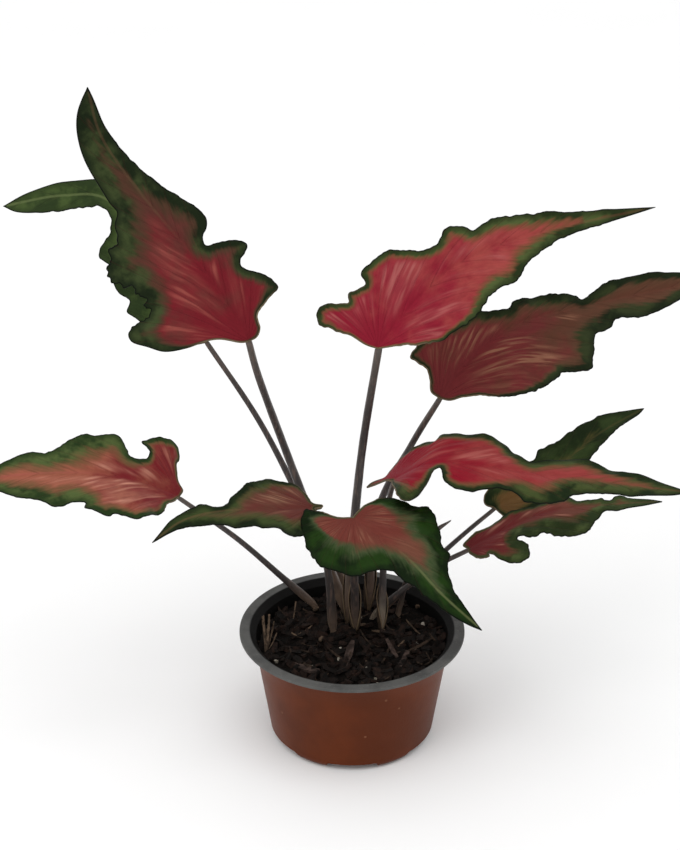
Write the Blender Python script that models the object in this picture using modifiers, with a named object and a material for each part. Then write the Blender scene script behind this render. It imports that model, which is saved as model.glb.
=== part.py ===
"""A potted caladium: ten arrow shaped leaves on long stalks, in a shallow nursery pot of bark soil.

Metres, +Z up. The origin is at the middle of the pot's foot, on the surface that it stands on.
The front is -Y, and +X is to the right as seen from the front.
"""

import math
from dataclasses import dataclass

import bmesh
import bpy
from mathutils import Matrix, Vector, noise

MM = 0.001
GAP = 0.3 * MM
MERGE = 0.01 * MM
SHARP_ANGLE = 40

# Pot
POT_HEIGHT = 62 * MM
LIP_RADIUS = 60 * MM
LIP_WIDTH = 5.5 * MM
LIP_DEPTH = 1.8 * MM
WALL = 1.2 * MM
BODY_TOP_RADIUS = 53.0 * MM
BODY_FOOT_RADIUS = 44.2 * MM
FOOT_ROUND = 5.0 * MM
FOOT_RADIUS = 38.4 * MM
FOOT_RING_WIDTH = 3.0 * MM
FLOOR_UNDERSIDE = 4.5 * MM
CENTRE_PAD_RADIUS = 9.0 * MM
FLOOR_TOP = 6.0 * MM
POT_SIDES = 48
NOTCH_COUNT = 6
NOTCH_WIDTH = 27.0 * MM
NOTCH_HEIGHT = 4.2 * MM
DRAIN_COUNT = 4
DRAIN_RADIUS = 3.2 * MM
DRAIN_SIDES = 12
DRAIN_RING_RADIUS = 20 * MM

# Soil
SOIL_TOP = 53 * MM
SOIL_LUMP = 1.6 * MM
SOIL_LUMP_SIZE = 9 * MM
SOIL_RINGS = (8, 17, 26, 35, 43)
SOIL_EDGE_DIP = 1.5 * MM
SOIL_SIDES = 36
STALK_DEPTH = 9 * MM

# Leaves
BLADE_THICKNESS = 0.8 * MM
CURL_WIDTH = 30.0
VEIN_RAKE = 0.8
VEIN_STEP = 0.5
RIPPLE_LENGTH = 26.0
EDGE_STEP = 5.0
EDGE_LEAST = 0.8
SPINE_STEP = 6.0
MIDRIB_SAMPLES = 24
FRAME_REACH = 2.0
RIPPLE_FADE = 10.0
COLUMNS = (0.5, 1.0)
STALK_SAMPLES = 4
STALK_SIDES_RESOLUTION = 2
STALK_NECK = 3.0
STALK_SEAT = 1.0
HOLE_SIDES = 12


@dataclass(frozen=True)
class Leaf:
    """One leaf: midrib points in mm, and edge points as (along the midrib, out from it) in mm."""

    name: str
    midrib: tuple
    face_base: tuple
    face_tip: tuple
    left_cup: tuple
    right_cup: tuple
    curl: tuple
    left: tuple
    right: tuple
    ripple: float
    root: tuple
    route: tuple
    root_radius: float
    tip_radius: float


LEAVES = (
    Leaf(
        name="tall_left",
        midrib=((-51, -6, 230), (-73, 4, 264), (-101, 12, 298), (-120, 14, 327), (-125, 8, 354)),
        face_base=(-0.05, -0.88, 0.47), face_tip=(0.1, -0.9, 0.4),
        left_cup=(8, 4), right_cup=(24, 20), curl=(-10, 0),
        left=((2, 4), (8, 11), (11, 18), (13, 28), (17, 38), (24, 44), (31, 49), (37, 48), (39, 43),
              (38, 36), (44, 35), (48, 31), (56, 34), (69, 38), (75, 34), (77, 28), (80, 22), (85, 20),
              (89, 15), (95, 15), (104, 14), (115, 13), (125, 11), (136, 8), (144, 4)),
        right=((0, 5), (3, 9), (10, 12), (14, 22), (17, 29), (25, 25), (32, 18), (36, 19), (39, 26),
               (43, 25), (47, 18), (50, 9), (54, 10), (58, 16), (64, 18), (75, 15), (92, 9), (109, 6),
               (126, 4), (140, 2)),
        ripple=1.2, root=(-4, 31), route=((-18, 30, 100), (-35, 22, 157), (-47, 5, 205)),
        root_radius=2.6, tip_radius=1.7,
    ),
    Leaf(
        name="behind_left",
        midrib=((-76, 44, 208), (-101, 58, 244), (-125, 72, 275), (-151, 80, 276), (-184, 86, 268)),
        face_base=(-0.2, -0.85, 0.5), face_tip=(-0.1, -0.8, 0.6),
        left_cup=(5, 5), right_cup=(15, 10), curl=(-10, 0),
        left=((2, 5), (8, 14), (19, 20), (28, 23), (36, 26), (40, 22), (47, 24), (53, 23), (59, 20),
              (67, 23), (72, 19), (75, 11), (80, 7), (86, 5), (92, 5), (100, 7), (111, 8), (128, 8),
              (142, 5)),
        right=((1, 6), (7, 15), (16, 17), (25, 18), (35, 24), (46, 23), (58, 24), (70, 20), (80, 17),
               (90, 11), (101, 8), (113, 7), (126, 6), (140, 3)),
        ripple=1.2, root=(2, 40), route=((-20, 43, 98), (-48, 46, 159)),
        root_radius=2.2, tip_radius=1.3,
    ),
    Leaf(
        name="tall_right",
        midrib=((12, -8, 227), (30, -2, 249), (55, 4, 269), (93, 6, 283), (144, -4, 299)),
        face_base=(0.08, -0.82, 0.56), face_tip=(0.1, -0.8, 0.6),
        left_cup=(14, 10), right_cup=(16, 14), curl=(0, 0),
        left=((-2, 6), (-3, 15), (-6, 24), (-8, 31), (-2, 35), (4, 33), (10, 26), (14, 28), (21, 24),
              (23, 29), (30, 29), (38, 27), (43, 22), (48, 16), (55, 14), (60, 18), (65, 17), (71, 12),
              (78, 13), (86, 13), (103, 9), (125, 5), (145, 2)),
        right=((3, 3), (9, 9), (15, 16), (24, 23), (33, 25), (42, 27), (55, 26), (64, 23), (72, 21),
               (82, 21), (89, 15), (100, 9), (110, 6), (124, 4), (141, 2)),
        ripple=1.2, root=(-2, 20), route=((0, 17, 100), (5, 9, 163)),
        root_radius=2.7, tip_radius=1.8,
    ),
    Leaf(
        name="back_right",
        midrib=((45, 22, 186), (59, 32, 202), (83, 42, 218), (124, 52, 226), (185, 58, 237)),
        face_base=(0.1, -0.78, 0.62), face_tip=(0.1, -0.75, 0.65),
        left_cup=(14, 10), right_cup=(14, 10), curl=(0, 0),
        left=((0, 6), (5, 10), (8, 13), (9, 18), (9, 25), (15, 26), (23, 22), (34, 18), (44, 16),
              (49, 12), (55, 9), (60, 12), (70, 11), (83, 9), (91, 7), (94, 4), (104, 8), (112, 10),
              (127, 10), (144, 8), (154, 4)),
        right=((2, 5), (7, 10), (16, 21), (30, 32), (45, 37), (61, 37), (70, 34), (84, 36), (88, 33),
               (91, 26), (95, 17), (104, 15), (108, 11), (122, 13), (136, 10), (149, 5)),
        ripple=1.2, root=(9, 32), route=((14, 32, 115), (31, 30, 155)),
        root_radius=2.4, tip_radius=1.5,
    ),
    Leaf(
        name="low_left",
        midrib=((-91, 24, 128), (-112, 14, 143), (-133, 6, 151), (-162, 0, 154), (-196, -4, 152)),
        face_base=(0.0, -0.38, 0.92), face_tip=(0.0, -0.45, 0.9),
        left_cup=(10, 6), right_cup=(14, 8), curl=(0, 0),
        left=((6, 7), (12, 13), (16, 20), (26, 27), (35, 32), (44, 29), (49, 31), (56, 28), (59, 26),
              (59, 22), (65, 21), (73, 24), (82, 19), (97, 12), (107, 6)),
        right=((-2, 5), (2, 10), (3, 17), (1, 25), (6, 30), (15, 30), (23, 27), (25, 24), (21, 20),
               (23, 15), (32, 13), (35, 20), (40, 24), (50, 23), (57, 23), (64, 19), (74, 13), (81, 12),
               (97, 9), (107, 4)),
        ripple=1.0, root=(-19, 32), route=((-36, 30, 73), (-62, 27, 101)),
        root_radius=2.0, tip_radius=1.2,
    ),
    Leaf(
        name="mid_left",
        midrib=((-19, -4, 136), (-44, -16, 142), (-67, -22, 144), (-85, -28, 142), (-100, -38, 135)),
        face_base=(0.0, -0.2, 0.98), face_tip=(0.0, -0.3, 0.95),
        left_cup=(4, 2), right_cup=(10, 6), curl=(-20, -10),
        left=((2, 7), (9, 16), (16, 21), (23, 21), (27, 16), (33, 14), (38, 12), (47, 12), (62, 8),
              (73, 5), (82, 2)),
        right=((0, 4), (1, 10), (4, 17), (12, 20), (18, 23), (24, 22), (36, 17), (44, 10), (48, 5), (53, 3),
               (59, 6), (66, 5), (76, 4), (83, 2)),
        ripple=0.8, root=(-10, 8), route=((-13, 3, 96),),
        root_radius=2.5, tip_radius=1.5,
    ),
    Leaf(
        name="front",
        midrib=((0, -24, 142), (14, -42, 140), (28, -54, 134), (44, -66, 121), (63, -72, 105)),
        face_base=(0.05, -0.25, 0.96), face_tip=(0.35, -0.45, 0.82),
        left_cup=(10, 6), right_cup=(-5, 0), curl=(-5, -25),
        left=((-1, 4), (-2, 11), (2, 19), (9, 25), (17, 28), (24, 31), (31, 30), (39, 26), (46, 20),
              (51, 19), (57, 13), (64, 9), (74, 5), (84, 2)),
        right=((-4, 4), (-12, 8), (-20, 11), (-23, 13), (-18, 19), (-6, 25), (6, 29), (14, 30), (22, 25),
               (29, 24), (34, 16), (42, 10), (53, 9), (64, 7), (76, 5), (85, 3)),
        ripple=0.8, root=(2, 11), route=((1, -2, 100),),
        root_radius=2.5, tip_radius=1.6,
    ),
    Leaf(
        name="mid_right",
        midrib=((20, 2, 149), (39, -10, 165), (64, -18, 168), (103, -24, 165), (166, -36, 162)),
        face_base=(-0.1, -0.15, 1.0), face_tip=(0.1, -0.2, 0.97),
        left_cup=(6, 4), right_cup=(0, 2), curl=(-10, -20),
        left=((-6, 3), (-10, 8), (-9, 14), (-4, 22), (3, 28), (13, 28), (25, 25), (42, 25), (56, 23),
              (64, 20), (71, 13), (79, 8), (89, 12), (104, 15), (118, 11), (135, 8), (147, 4)),
        right=((4, 6), (10, 13), (19, 24), (27, 24), (30, 17), (32, 10), (35, 5), (40, 15), (46, 18),
               (57, 19), (66, 17), (74, 17), (80, 21), (89, 22), (97, 18), (103, 12), (120, 9), (137, 7),
               (149, 4)),
        ripple=0.8, root=(16, 12), route=((17, 13, 100), (19, 9, 132)),
        root_radius=2.1, tip_radius=1.3,
    ),
    Leaf(
        name="rear_right",
        midrib=((76, 34, 116), (97, 38, 126), (115, 48, 137), (135, 60, 148), (160, 74, 156)),
        face_base=(-0.1, -0.3, 0.95), face_tip=(-0.3, -0.5, 0.8),
        left_cup=(6, 6), right_cup=(4, 6), curl=(0, -10),
        left=((-3, 3), (-3, 7), (2, 12), (11, 17), (24, 17), (34, 13), (42, 16), (47, 14), (52, 12),
              (60, 12), (74, 10), (86, 7), (96, 3)),
        right=((2, 7), (6, 12), (13, 13), (19, 12), (26, 14), (35, 14), (45, 12), (54, 10), (64, 8),
               (76, 5), (87, 3), (97, 2)),
        ripple=0.8, root=(20, 34), route=((37, 35, 74), (60, 34, 99)),
        root_radius=1.7, tip_radius=1.1,
    ),
    Leaf(
        name="low_right",
        midrib=((61, 12, 103), (82, 10, 117), (101, 8, 127), (123, 4, 133), (159, -4, 140)),
        face_base=(0.0, -0.2, 0.98), face_tip=(0.0, -0.2, 0.98),
        left_cup=(4, 4), right_cup=(4, 4), curl=(0, -20),
        left=((-2, 4), (4, 7), (12, 8), (20, 9), (29, 9), (41, 8), (52, 8), (58, 9), (64, 5), (75, 5),
              (80, 3), (85, 6), (92, 4), (101, 2)),
        right=((1, 5), (7, 13), (12, 15), (13, 13), (19, 21), (26, 26), (33, 27), (35, 21), (32, 15),
               (30, 11), (39, 16), (45, 15), (52, 19), (63, 22), (71, 19), (74, 12), (78, 5), (85, 6),
               (92, 4), (101, 2)),
        ripple=0.8, root=(11, 22), route=((24, 19, 70), (44, 15, 90)),
        root_radius=1.9, tip_radius=1.2,
    ),
)

# Young shoot: a rolled leaf that has only just risen
SHOOT_ROOT = (25, 24)
SHOOT_ROUTE = ((32, 21, 88), (43, 16, 110), (52, 14, 119))
SHOOT_ROOT_RADIUS = 1.5
SHOOT_TIP_RADIUS = 0.7


def clear_scene():
    """Remove every object that the file opened with."""
    for old in list(bpy.data.objects):
        bpy.data.objects.remove(old, do_unlink=True)


def add_collection(name):
    """Add a collection to the scene and return it."""
    collection = bpy.data.collections.new(name)
    bpy.context.scene.collection.children.link(collection)
    return collection


def add_material(name, colour, roughness):
    """Return a plain material of one colour."""
    material = bpy.data.materials.new(name)
    material.use_nodes = True
    shader = material.node_tree.nodes["Principled BSDF"]
    shader.inputs["Base Color"].default_value = (*colour, 1.0)
    shader.inputs["Roughness"].default_value = roughness
    shader.inputs["Metallic"].default_value = 0.0
    return material


def add_mesh_object(name, mesh, collection, material=None):
    """Put a mesh in a collection as a named object, shaded smooth."""
    item = bpy.data.objects.new(name, mesh)
    collection.objects.link(item)
    if material is not None:
        mesh.materials.append(material)
        mesh.shade_smooth()
        mesh.set_sharp_from_angle(angle=math.radians(SHARP_ANGLE))
    return item


def hide_guide(item):
    """Mark an object as a cutter or a guide."""
    item.hide_render = True
    item.display_type = "WIRE"


def take_mesh(item, name):
    """Return an object's evaluated mesh, with its doubles merged, and remove the object."""
    depsgraph = bpy.context.evaluated_depsgraph_get()
    mesh = bpy.data.meshes.new_from_object(item.evaluated_get(depsgraph))
    mesh.transform(item.matrix_world)
    mesh.name = name
    shape = bmesh.new()
    shape.from_mesh(mesh)
    bmesh.ops.remove_doubles(shape, verts=shape.verts, dist=MERGE)
    bmesh.ops.recalc_face_normals(shape, faces=shape.faces)
    shape.to_mesh(mesh)
    shape.free()
    mesh.materials.clear()
    bpy.data.objects.remove(item, do_unlink=True)
    return mesh


def turned_object(name, profile, sides, collection):
    """Return an object whose profile, a list of (radius, height), is turned about the Z axis."""
    mesh = bpy.data.meshes.new(name)
    points = [(radius, 0.0, height) for radius, height in profile]
    edges = [(index, index + 1) for index in range(len(points) - 1)]
    mesh.from_pydata(points, edges, [])
    item = add_mesh_object(name, mesh, collection)
    screw = item.modifiers.new("turn", "SCREW")
    screw.axis = "Z"
    screw.angle = math.tau
    screw.steps = sides
    screw.render_steps = sides
    screw.use_merge_vertices = True
    screw.merge_threshold = MERGE
    return item


def add_cylinder(name, start, end, radius, sides, collection):
    """Return a cylinder between two points."""
    axis = end - start
    shape = bmesh.new()
    turn = axis.to_track_quat("Z", "Y").to_matrix().to_4x4()
    place = Matrix.Translation((start + end) / 2) @ turn
    bmesh.ops.create_cone(shape, cap_ends=True, segments=sides, radius1=radius, radius2=radius,
                          depth=axis.length, matrix=place)
    mesh = bpy.data.meshes.new(name)
    shape.to_mesh(mesh)
    shape.free()
    return add_mesh_object(name, mesh, collection)


def add_box(name, centre, size, turn, collection):
    """Return a box of a size, turned about the Z axis."""
    shape = bmesh.new()
    place = Matrix.Translation(centre) @ Matrix.Rotation(turn, 4, "Z") @ Matrix.Diagonal((*size, 1.0))
    bmesh.ops.create_cube(shape, size=1.0, matrix=place)
    mesh = bpy.data.meshes.new(name)
    shape.to_mesh(mesh)
    shape.free()
    return add_mesh_object(name, mesh, collection)


def cut_by(item, cutters):
    """Cut an object by a collection of cutters."""
    boolean = item.modifiers.new("cut", "BOOLEAN")
    boolean.operation = "DIFFERENCE"
    boolean.solver = "EXACT"
    boolean.operand_type = "COLLECTION"
    boolean.collection = cutters


def smooth_points(points, samples):
    """Return points along a Catmull-Rom curve through the given points."""
    points = [Vector(point) for point in points]
    ends = [2 * points[0] - points[1], *points, 2 * points[-1] - points[-2]]
    result = []
    for index in range(len(points) - 1):
        before, start, end, after = ends[index:index + 4]
        for step in range(samples):
            part = step / samples
            result.append(0.5 * (2 * start + (end - before) * part
                                 + (2 * before - 5 * start + 4 * end - after) * part ** 2
                                 + (3 * start - before - 3 * end + after) * part ** 3))
    return [*result, points[-1]]


class Midrib:
    """A leaf's midrib as a curve, with the frame of the blade along it."""

    def __init__(self, leaf):
        self.points = smooth_points(leaf.midrib, MIDRIB_SAMPLES)
        self.places = [0.0]
        for start, end in zip(self.points, self.points[1:]):
            self.places.append(self.places[-1] + (end - start).length)
        self.length = self.places[-1]
        self.face_base = Vector(leaf.face_base).normalized()
        self.face_tip = Vector(leaf.face_tip).normalized()

    def point(self, along):
        """Return the point at a distance along the midrib, inside its two ends."""
        along = min(max(along, 0.0), self.length)
        index = next(number for number, place in enumerate(self.places[1:]) if place >= along - 1e-9)
        span = self.places[index + 1] - self.places[index]
        part = (along - self.places[index]) / span
        return self.points[index].lerp(self.points[index + 1], part)

    def frame(self, along):
        """Return the point, direction, face normal and left direction at a distance along."""
        inside = min(max(along, 0.0), self.length)
        direction = (self.point(inside + FRAME_REACH) - self.point(inside - FRAME_REACH)).normalized()
        face = self.face_base.lerp(self.face_tip, inside / self.length)
        face = (face - direction * face.dot(direction)).normalized()
        place = self.point(inside) + direction * (along - inside)
        return place, direction, face, face.cross(direction)


def blade_point(leaf, midrib, along, out, side, edge_part):
    """Return a point of the blade, in mm.

    The point is a distance along the midrib and out from it, on side +1 (left) or -1 (right).
    The half rises by its cup angle and curls down towards its edge, where it also ripples.
    """
    place, _, face, left = midrib.frame(along)
    part = min(max(along / midrib.length, 0.0), 1.0)
    cup = leaf.left_cup if side > 0 else leaf.right_cup
    curl = leaf.curl[0] if side > 0 else leaf.curl[1]
    rise = math.radians(cup[0] + (cup[1] - cup[0]) * part + curl * out / (2 * CURL_WIDTH))
    wave = math.sin(math.tau * along / RIPPLE_LENGTH + side) * edge_part ** 2
    fade = min(1.0, out / RIPPLE_FADE)
    lift = out * math.sin(rise) + leaf.ripple * wave * fade
    return place + left * side * out * math.cos(rise) + face * lift


def edge_rows(midrib, outline):
    """Return the rows from the midrib to the edge, as (vein root along, edge along, edge out).

    A row follows a side vein. In the lobe behind the stalk, the rows fan out from the stalk.
    """
    hand = [(0.0, 0.0), *outline, (midrib.length, 0.0)]
    curve = smooth_points([(along, out, 0.0) for along, out in hand], 2)
    rows = []
    root = -VEIN_STEP
    for index in range(1, len(curve) - 1):
        is_between = index % 2 == 1
        if is_between and (curve[index + 1] - curve[index - 1]).length < EDGE_STEP:
            continue
        along, out = curve[index].x, curve[index].y
        root = min(max(root + VEIN_STEP, along - VEIN_RAKE * out), midrib.length - VEIN_STEP)
        rows.append((root, along, max(out, EDGE_LEAST)))
    return rows


def zip_strip(near, near_places, far, far_places, add_triangle):
    """Fill the strip between two lines of vertices, whose places along the blade are sorted."""
    low = 0
    high = 0
    while low < len(near) - 1 or high < len(far) - 1:
        far_done = high == len(far) - 1
        near_open = low < len(near) - 1
        if far_done or (near_open and near_places[low + 1] <= far_places[high + 1]):
            add_triangle(near[low], near[low + 1], far[high])
            low += 1
        else:
            add_triangle(near[low], far[high + 1], far[high])
            high += 1


def add_half_blade(shape, leaf, midrib, side, spine, spine_places):
    """Add the triangles of one half of a blade to a mesh, from its midrib's vertices outwards."""
    rows = edge_rows(midrib, leaf.left if side > 0 else leaf.right)
    columns = []
    for part in COLUMNS:
        line = []
        for root, along, out in rows:
            place = blade_point(leaf, midrib, root + (along - root) * part, out * part, side, part)
            line.append(shape.verts.new(place * MM))
        columns.append(line)

    def add_triangle(first, second, third):
        corners = (first, second, third) if side > 0 else (first, third, second)
        shape.faces.new(corners)

    zip_strip(spine, spine_places, columns[0], [row[0] for row in rows], add_triangle)
    for inner, outer in zip(columns, columns[1:]):
        for index in range(len(rows) - 1):
            add_triangle(inner[index], inner[index + 1], outer[index])
            add_triangle(inner[index + 1], outer[index + 1], outer[index])
        add_triangle(inner[-1], spine[-1], outer[-1])


def add_blade(leaf, midrib, collection, material):
    """Build a leaf's blade as a thin waved sheet."""
    shape = bmesh.new()
    count = max(4, round(midrib.length / SPINE_STEP))
    spine_places = [midrib.length * index / count for index in range(count + 1)]
    spine = [shape.verts.new(midrib.point(place) * MM) for place in spine_places]
    add_half_blade(shape, leaf, midrib, 1, spine, spine_places)
    add_half_blade(shape, leaf, midrib, -1, spine, spine_places)
    mesh = bpy.data.meshes.new("blade_" + leaf.name)
    shape.to_mesh(mesh)
    shape.free()
    item = add_mesh_object("blade_" + leaf.name, mesh, collection, material)
    thicken = item.modifiers.new("thicken", "SOLIDIFY")
    thicken.thickness = BLADE_THICKNESS
    thicken.offset = 0.0


def add_tube(name, points, root_radius, tip_radius, collection, material):
    """Build a tapered round stalk through points in mm."""
    curve = bpy.data.curves.new(name, "CURVE")
    curve.dimensions = "3D"
    curve.bevel_depth = MM
    curve.bevel_resolution = STALK_SIDES_RESOLUTION
    curve.use_fill_caps = True
    spline = curve.splines.new("POLY")
    spline.points.add(len(points) - 1)
    for index, point in enumerate(points):
        part = index / (len(points) - 1)
        spline.points[index].co = (*(point * MM), 1.0)
        spline.points[index].radius = root_radius + (tip_radius - root_radius) * part
    guide = bpy.data.objects.new(name + "_curve", curve)
    collection.objects.link(guide)
    mesh = take_mesh(guide, name)
    add_mesh_object(name, mesh, collection, material)


def stalk_lean(root, route):
    """Return the direction in which a stalk leaves the soil, half of the way to upright."""
    lean = (Vector(route[0]) - Vector((*root, SOIL_TOP / MM))).normalized()
    return (lean + Vector((0.0, 0.0, 1.0))).normalized()


def stalk_points(root, route, end):
    """Return a stalk's points in mm: straight out of the soil, then along its route to its end."""
    mouth = Vector((*root, SOIL_TOP / MM))
    lean = stalk_lean(root, route)
    foot = mouth - lean * (STALK_DEPTH / MM)
    neck = mouth + lean * STALK_NECK
    return [foot, *smooth_points([neck, *route, end], STALK_SAMPLES)]


def add_stalk(leaf, midrib, collection, material):
    """Build a leaf's stalk, from the soil to just under the blade at the foot of its midrib."""
    place, _, face, _ = midrib.frame(STALK_SEAT)
    approach = (place - Vector(leaf.route[-1])).normalized()
    slant = math.sqrt(max(0.0, 1.0 - approach.dot(face) ** 2))
    drop = (BLADE_THICKNESS / 2 + GAP) / MM + leaf.tip_radius * slant
    points = stalk_points(leaf.root, leaf.route, place - face * drop)
    add_tube("stalk_" + leaf.name, points, leaf.root_radius, leaf.tip_radius, collection, material)


def add_shoot(collection, material):
    """Build the young shoot, a rolled leaf that has only just risen."""
    points = stalk_points(SHOOT_ROOT, SHOOT_ROUTE[:-1], Vector(SHOOT_ROUTE[-1]))
    add_tube("young_shoot", points, SHOOT_ROOT_RADIUS, SHOOT_TIP_RADIUS, collection, material)


def wall_radius(height):
    """Return the radius of the pot's outer wall at a height."""
    slope = (BODY_TOP_RADIUS - BODY_FOOT_RADIUS) / (POT_HEIGHT - FOOT_ROUND)
    return BODY_FOOT_RADIUS + slope * (height - FOOT_ROUND)


def foot_profile():
    """Return the round of the pot's foot, from the wall down to the surface it stands on."""
    width = BODY_FOOT_RADIUS - FOOT_RADIUS
    return [(FOOT_RADIUS + width * math.sin(angle), FOOT_ROUND * (1 - math.cos(angle)))
            for angle in (math.pi / 2, math.pi / 3, math.pi / 6, 0.0)]


def pot_profile():
    """Return the pot's closed profile, from the floor's middle round the lip to the underside."""
    throat = LIP_RADIUS - LIP_WIDTH
    under_lip = POT_HEIGHT - LIP_DEPTH
    top_inside = wall_radius(under_lip - LIP_DEPTH) - WALL
    return [
        (0.0, FLOOR_TOP),
        (wall_radius(FLOOR_TOP) - WALL, FLOOR_TOP),
        (top_inside, under_lip - LIP_DEPTH),
        (throat - WALL / 2, POT_HEIGHT - WALL / 2),
        (throat, POT_HEIGHT),
        (LIP_RADIUS - WALL / 2, POT_HEIGHT),
        (LIP_RADIUS, POT_HEIGHT - WALL / 2),
        (LIP_RADIUS, under_lip),
        (wall_radius(under_lip) + WALL, under_lip),
        (wall_radius(under_lip - LIP_DEPTH), under_lip - LIP_DEPTH),
        *foot_profile(),
        (FOOT_RADIUS - FOOT_RING_WIDTH, 0.0),
        (FOOT_RADIUS - FOOT_RING_WIDTH, FLOOR_UNDERSIDE),
        (CENTRE_PAD_RADIUS + FLOOR_UNDERSIDE / 2, FLOOR_UNDERSIDE),
        (CENTRE_PAD_RADIUS, 0.0),
        (0.0, 0.0),
    ]


def add_pot(collection, cutters, material):
    """Build the pot, with wide notches round its foot ring and drain holes in its raised floor."""
    pot = turned_object("pot", pot_profile(), POT_SIDES, collection)
    pot.data.materials.append(material)
    inner = FOOT_RADIUS - 3 * FOOT_RING_WIDTH
    size = (LIP_RADIUS - inner, NOTCH_WIDTH, 2 * NOTCH_HEIGHT)
    for index in range(NOTCH_COUNT):
        angle = math.tau * (index + 0.5) / NOTCH_COUNT
        centre = Vector((math.cos(angle), math.sin(angle), 0.0)) * (LIP_RADIUS + inner) / 2
        hide_guide(add_box(f"notch_{index + 1}", centre, size, angle, cutters))
    for index in range(DRAIN_COUNT):
        angle = math.tau * index / DRAIN_COUNT
        place = Vector((math.cos(angle), math.sin(angle), 0.0)) * DRAIN_RING_RADIUS
        top = place + Vector((0.0, 0.0, FLOOR_TOP + WALL))
        hide_guide(add_cylinder(f"drain_{index + 1}", place, top, DRAIN_RADIUS, DRAIN_SIDES, cutters))
    cut_by(pot, cutters)


def soil_profile():
    """Return the soil's profile, from the middle of its top round its edge to its middle below."""
    bottom = FLOOR_TOP + GAP
    side_gap = GAP + WALL
    rings = [(radius * MM, SOIL_TOP) for radius in SOIL_RINGS]
    top_edge = SOIL_TOP - SOIL_EDGE_DIP
    return [
        (0.0, SOIL_TOP),
        *rings,
        (wall_radius(top_edge) - side_gap, top_edge),
        (wall_radius(bottom) - side_gap, bottom),
        (0.0, bottom),
    ]


def add_soil(collection, cutters, material):
    """Build the soil, a lumpy fill of the pot with a plain hole for each stalk."""
    guide = turned_object("soil_fill", soil_profile(), SOIL_SIDES, collection)
    mesh = take_mesh(guide, "soil")
    for vertex in mesh.vertices:
        radius = math.hypot(vertex.co.x, vertex.co.y)
        if vertex.co.z > SOIL_TOP - SOIL_EDGE_DIP / 2 and radius < wall_radius(SOIL_TOP) - 3 * WALL:
            vertex.co.z += SOIL_LUMP * noise.noise(vertex.co / SOIL_LUMP_SIZE)
    soil = add_mesh_object("soil", mesh, collection, material)
    holes = [(leaf.name, leaf.root, leaf.route, leaf.root_radius) for leaf in LEAVES]
    holes.append(("shoot", SHOOT_ROOT, SHOOT_ROUTE, SHOOT_ROOT_RADIUS))
    for name, root, route, radius in holes:
        mouth = Vector((*root, SOIL_TOP / MM)) * MM
        lean = stalk_lean(root, route)
        low = mouth - lean * (STALK_DEPTH + GAP)
        high = mouth + lean * STALK_DEPTH
        width = (radius * MM + GAP) / math.cos(math.pi / HOLE_SIDES)
        hide_guide(add_cylinder("hole_" + name, low, high, width, HOLE_SIDES, cutters))
    cut_by(soil, cutters)


def build():
    """Build the potted plant."""
    clear_scene()
    plant = add_collection("potted_caladium")
    pot_cutters = add_collection("pot_cutters")
    soil_cutters = add_collection("soil_cutters")
    add_pot(plant, pot_cutters, add_material("terracotta_plastic", (0.33, 0.095, 0.04), 0.42))
    add_soil(plant, soil_cutters, add_material("bark_soil", (0.018, 0.012, 0.009), 0.95))
    blade = add_material("caladium_blade", (0.38, 0.06, 0.06), 0.45)
    stalk = add_material("caladium_stalk", (0.07, 0.045, 0.04), 0.5)
    for leaf in LEAVES:
        midrib = Midrib(leaf)
        add_blade(leaf, midrib, plant, blade)
        add_stalk(leaf, midrib, plant, stalk)
    add_shoot(plant, stalk)


build()
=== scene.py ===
"""A potted caladium: ten arrow shaped leaves on long stalks, in a shallow pot of bark soil.

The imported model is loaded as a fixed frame, and each piece here is built in that frame, in metres.
The leaf tables are in millimetres. The front is -Y, and +X is to the right as seen from the front.
"""

import logging
import math
import random
from dataclasses import dataclass, field
from enum import Enum

import bmesh
import bpy
import numpy as np
from mathutils import Matrix, Vector, geometry, noise


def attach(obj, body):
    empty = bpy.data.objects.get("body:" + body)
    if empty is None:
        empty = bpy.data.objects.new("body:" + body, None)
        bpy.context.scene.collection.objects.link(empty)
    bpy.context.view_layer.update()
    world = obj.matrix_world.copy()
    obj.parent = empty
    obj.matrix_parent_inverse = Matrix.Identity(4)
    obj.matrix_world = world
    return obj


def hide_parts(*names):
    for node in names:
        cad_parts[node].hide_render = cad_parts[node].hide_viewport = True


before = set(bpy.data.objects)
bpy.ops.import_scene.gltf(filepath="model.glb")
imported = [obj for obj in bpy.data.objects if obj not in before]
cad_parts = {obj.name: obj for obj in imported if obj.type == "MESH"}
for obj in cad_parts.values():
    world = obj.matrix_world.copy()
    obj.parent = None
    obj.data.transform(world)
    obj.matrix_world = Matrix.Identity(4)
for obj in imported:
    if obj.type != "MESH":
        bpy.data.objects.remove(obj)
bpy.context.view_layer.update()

LOG = logging.getLogger("potted_caladium")
BODY = "root"
MM = 0.001
MERGE = 0.00001
Colour = tuple[float, float, float]
Profile = tuple[tuple[float, float], ...]

SOIL_TOP = 53.0
RIPPLE_LENGTH = 26.0
CURL_WIDTH = 30.0
VEIN_RAKE = 2.3
FRAME_REACH = 2.0
RIPPLE_FADE = 10.0
PAINTED_FIELDS = ("vein", "across", "edge", "reach", "run", "margin")


class Slot(Enum):
    """The record's material slots."""

    POT = "pot"
    SOIL = "soil"
    LEAF = "leaf"
    STALK = "stalk"


class Face(Enum):
    """The two faces of a blade."""

    UPPER = 0
    UNDER = 1


@dataclass(frozen=True)
class Leaf:
    """One leaf: midrib points in mm, and edge points as (along the midrib, out from it) in mm."""

    name: str
    midrib: tuple
    face_base: tuple
    face_tip: tuple
    left_cup: tuple
    right_cup: tuple
    curl: tuple
    left: tuple
    right: tuple
    ripple: float
    root: tuple
    route: tuple
    root_radius: float
    tip_radius: float


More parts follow.
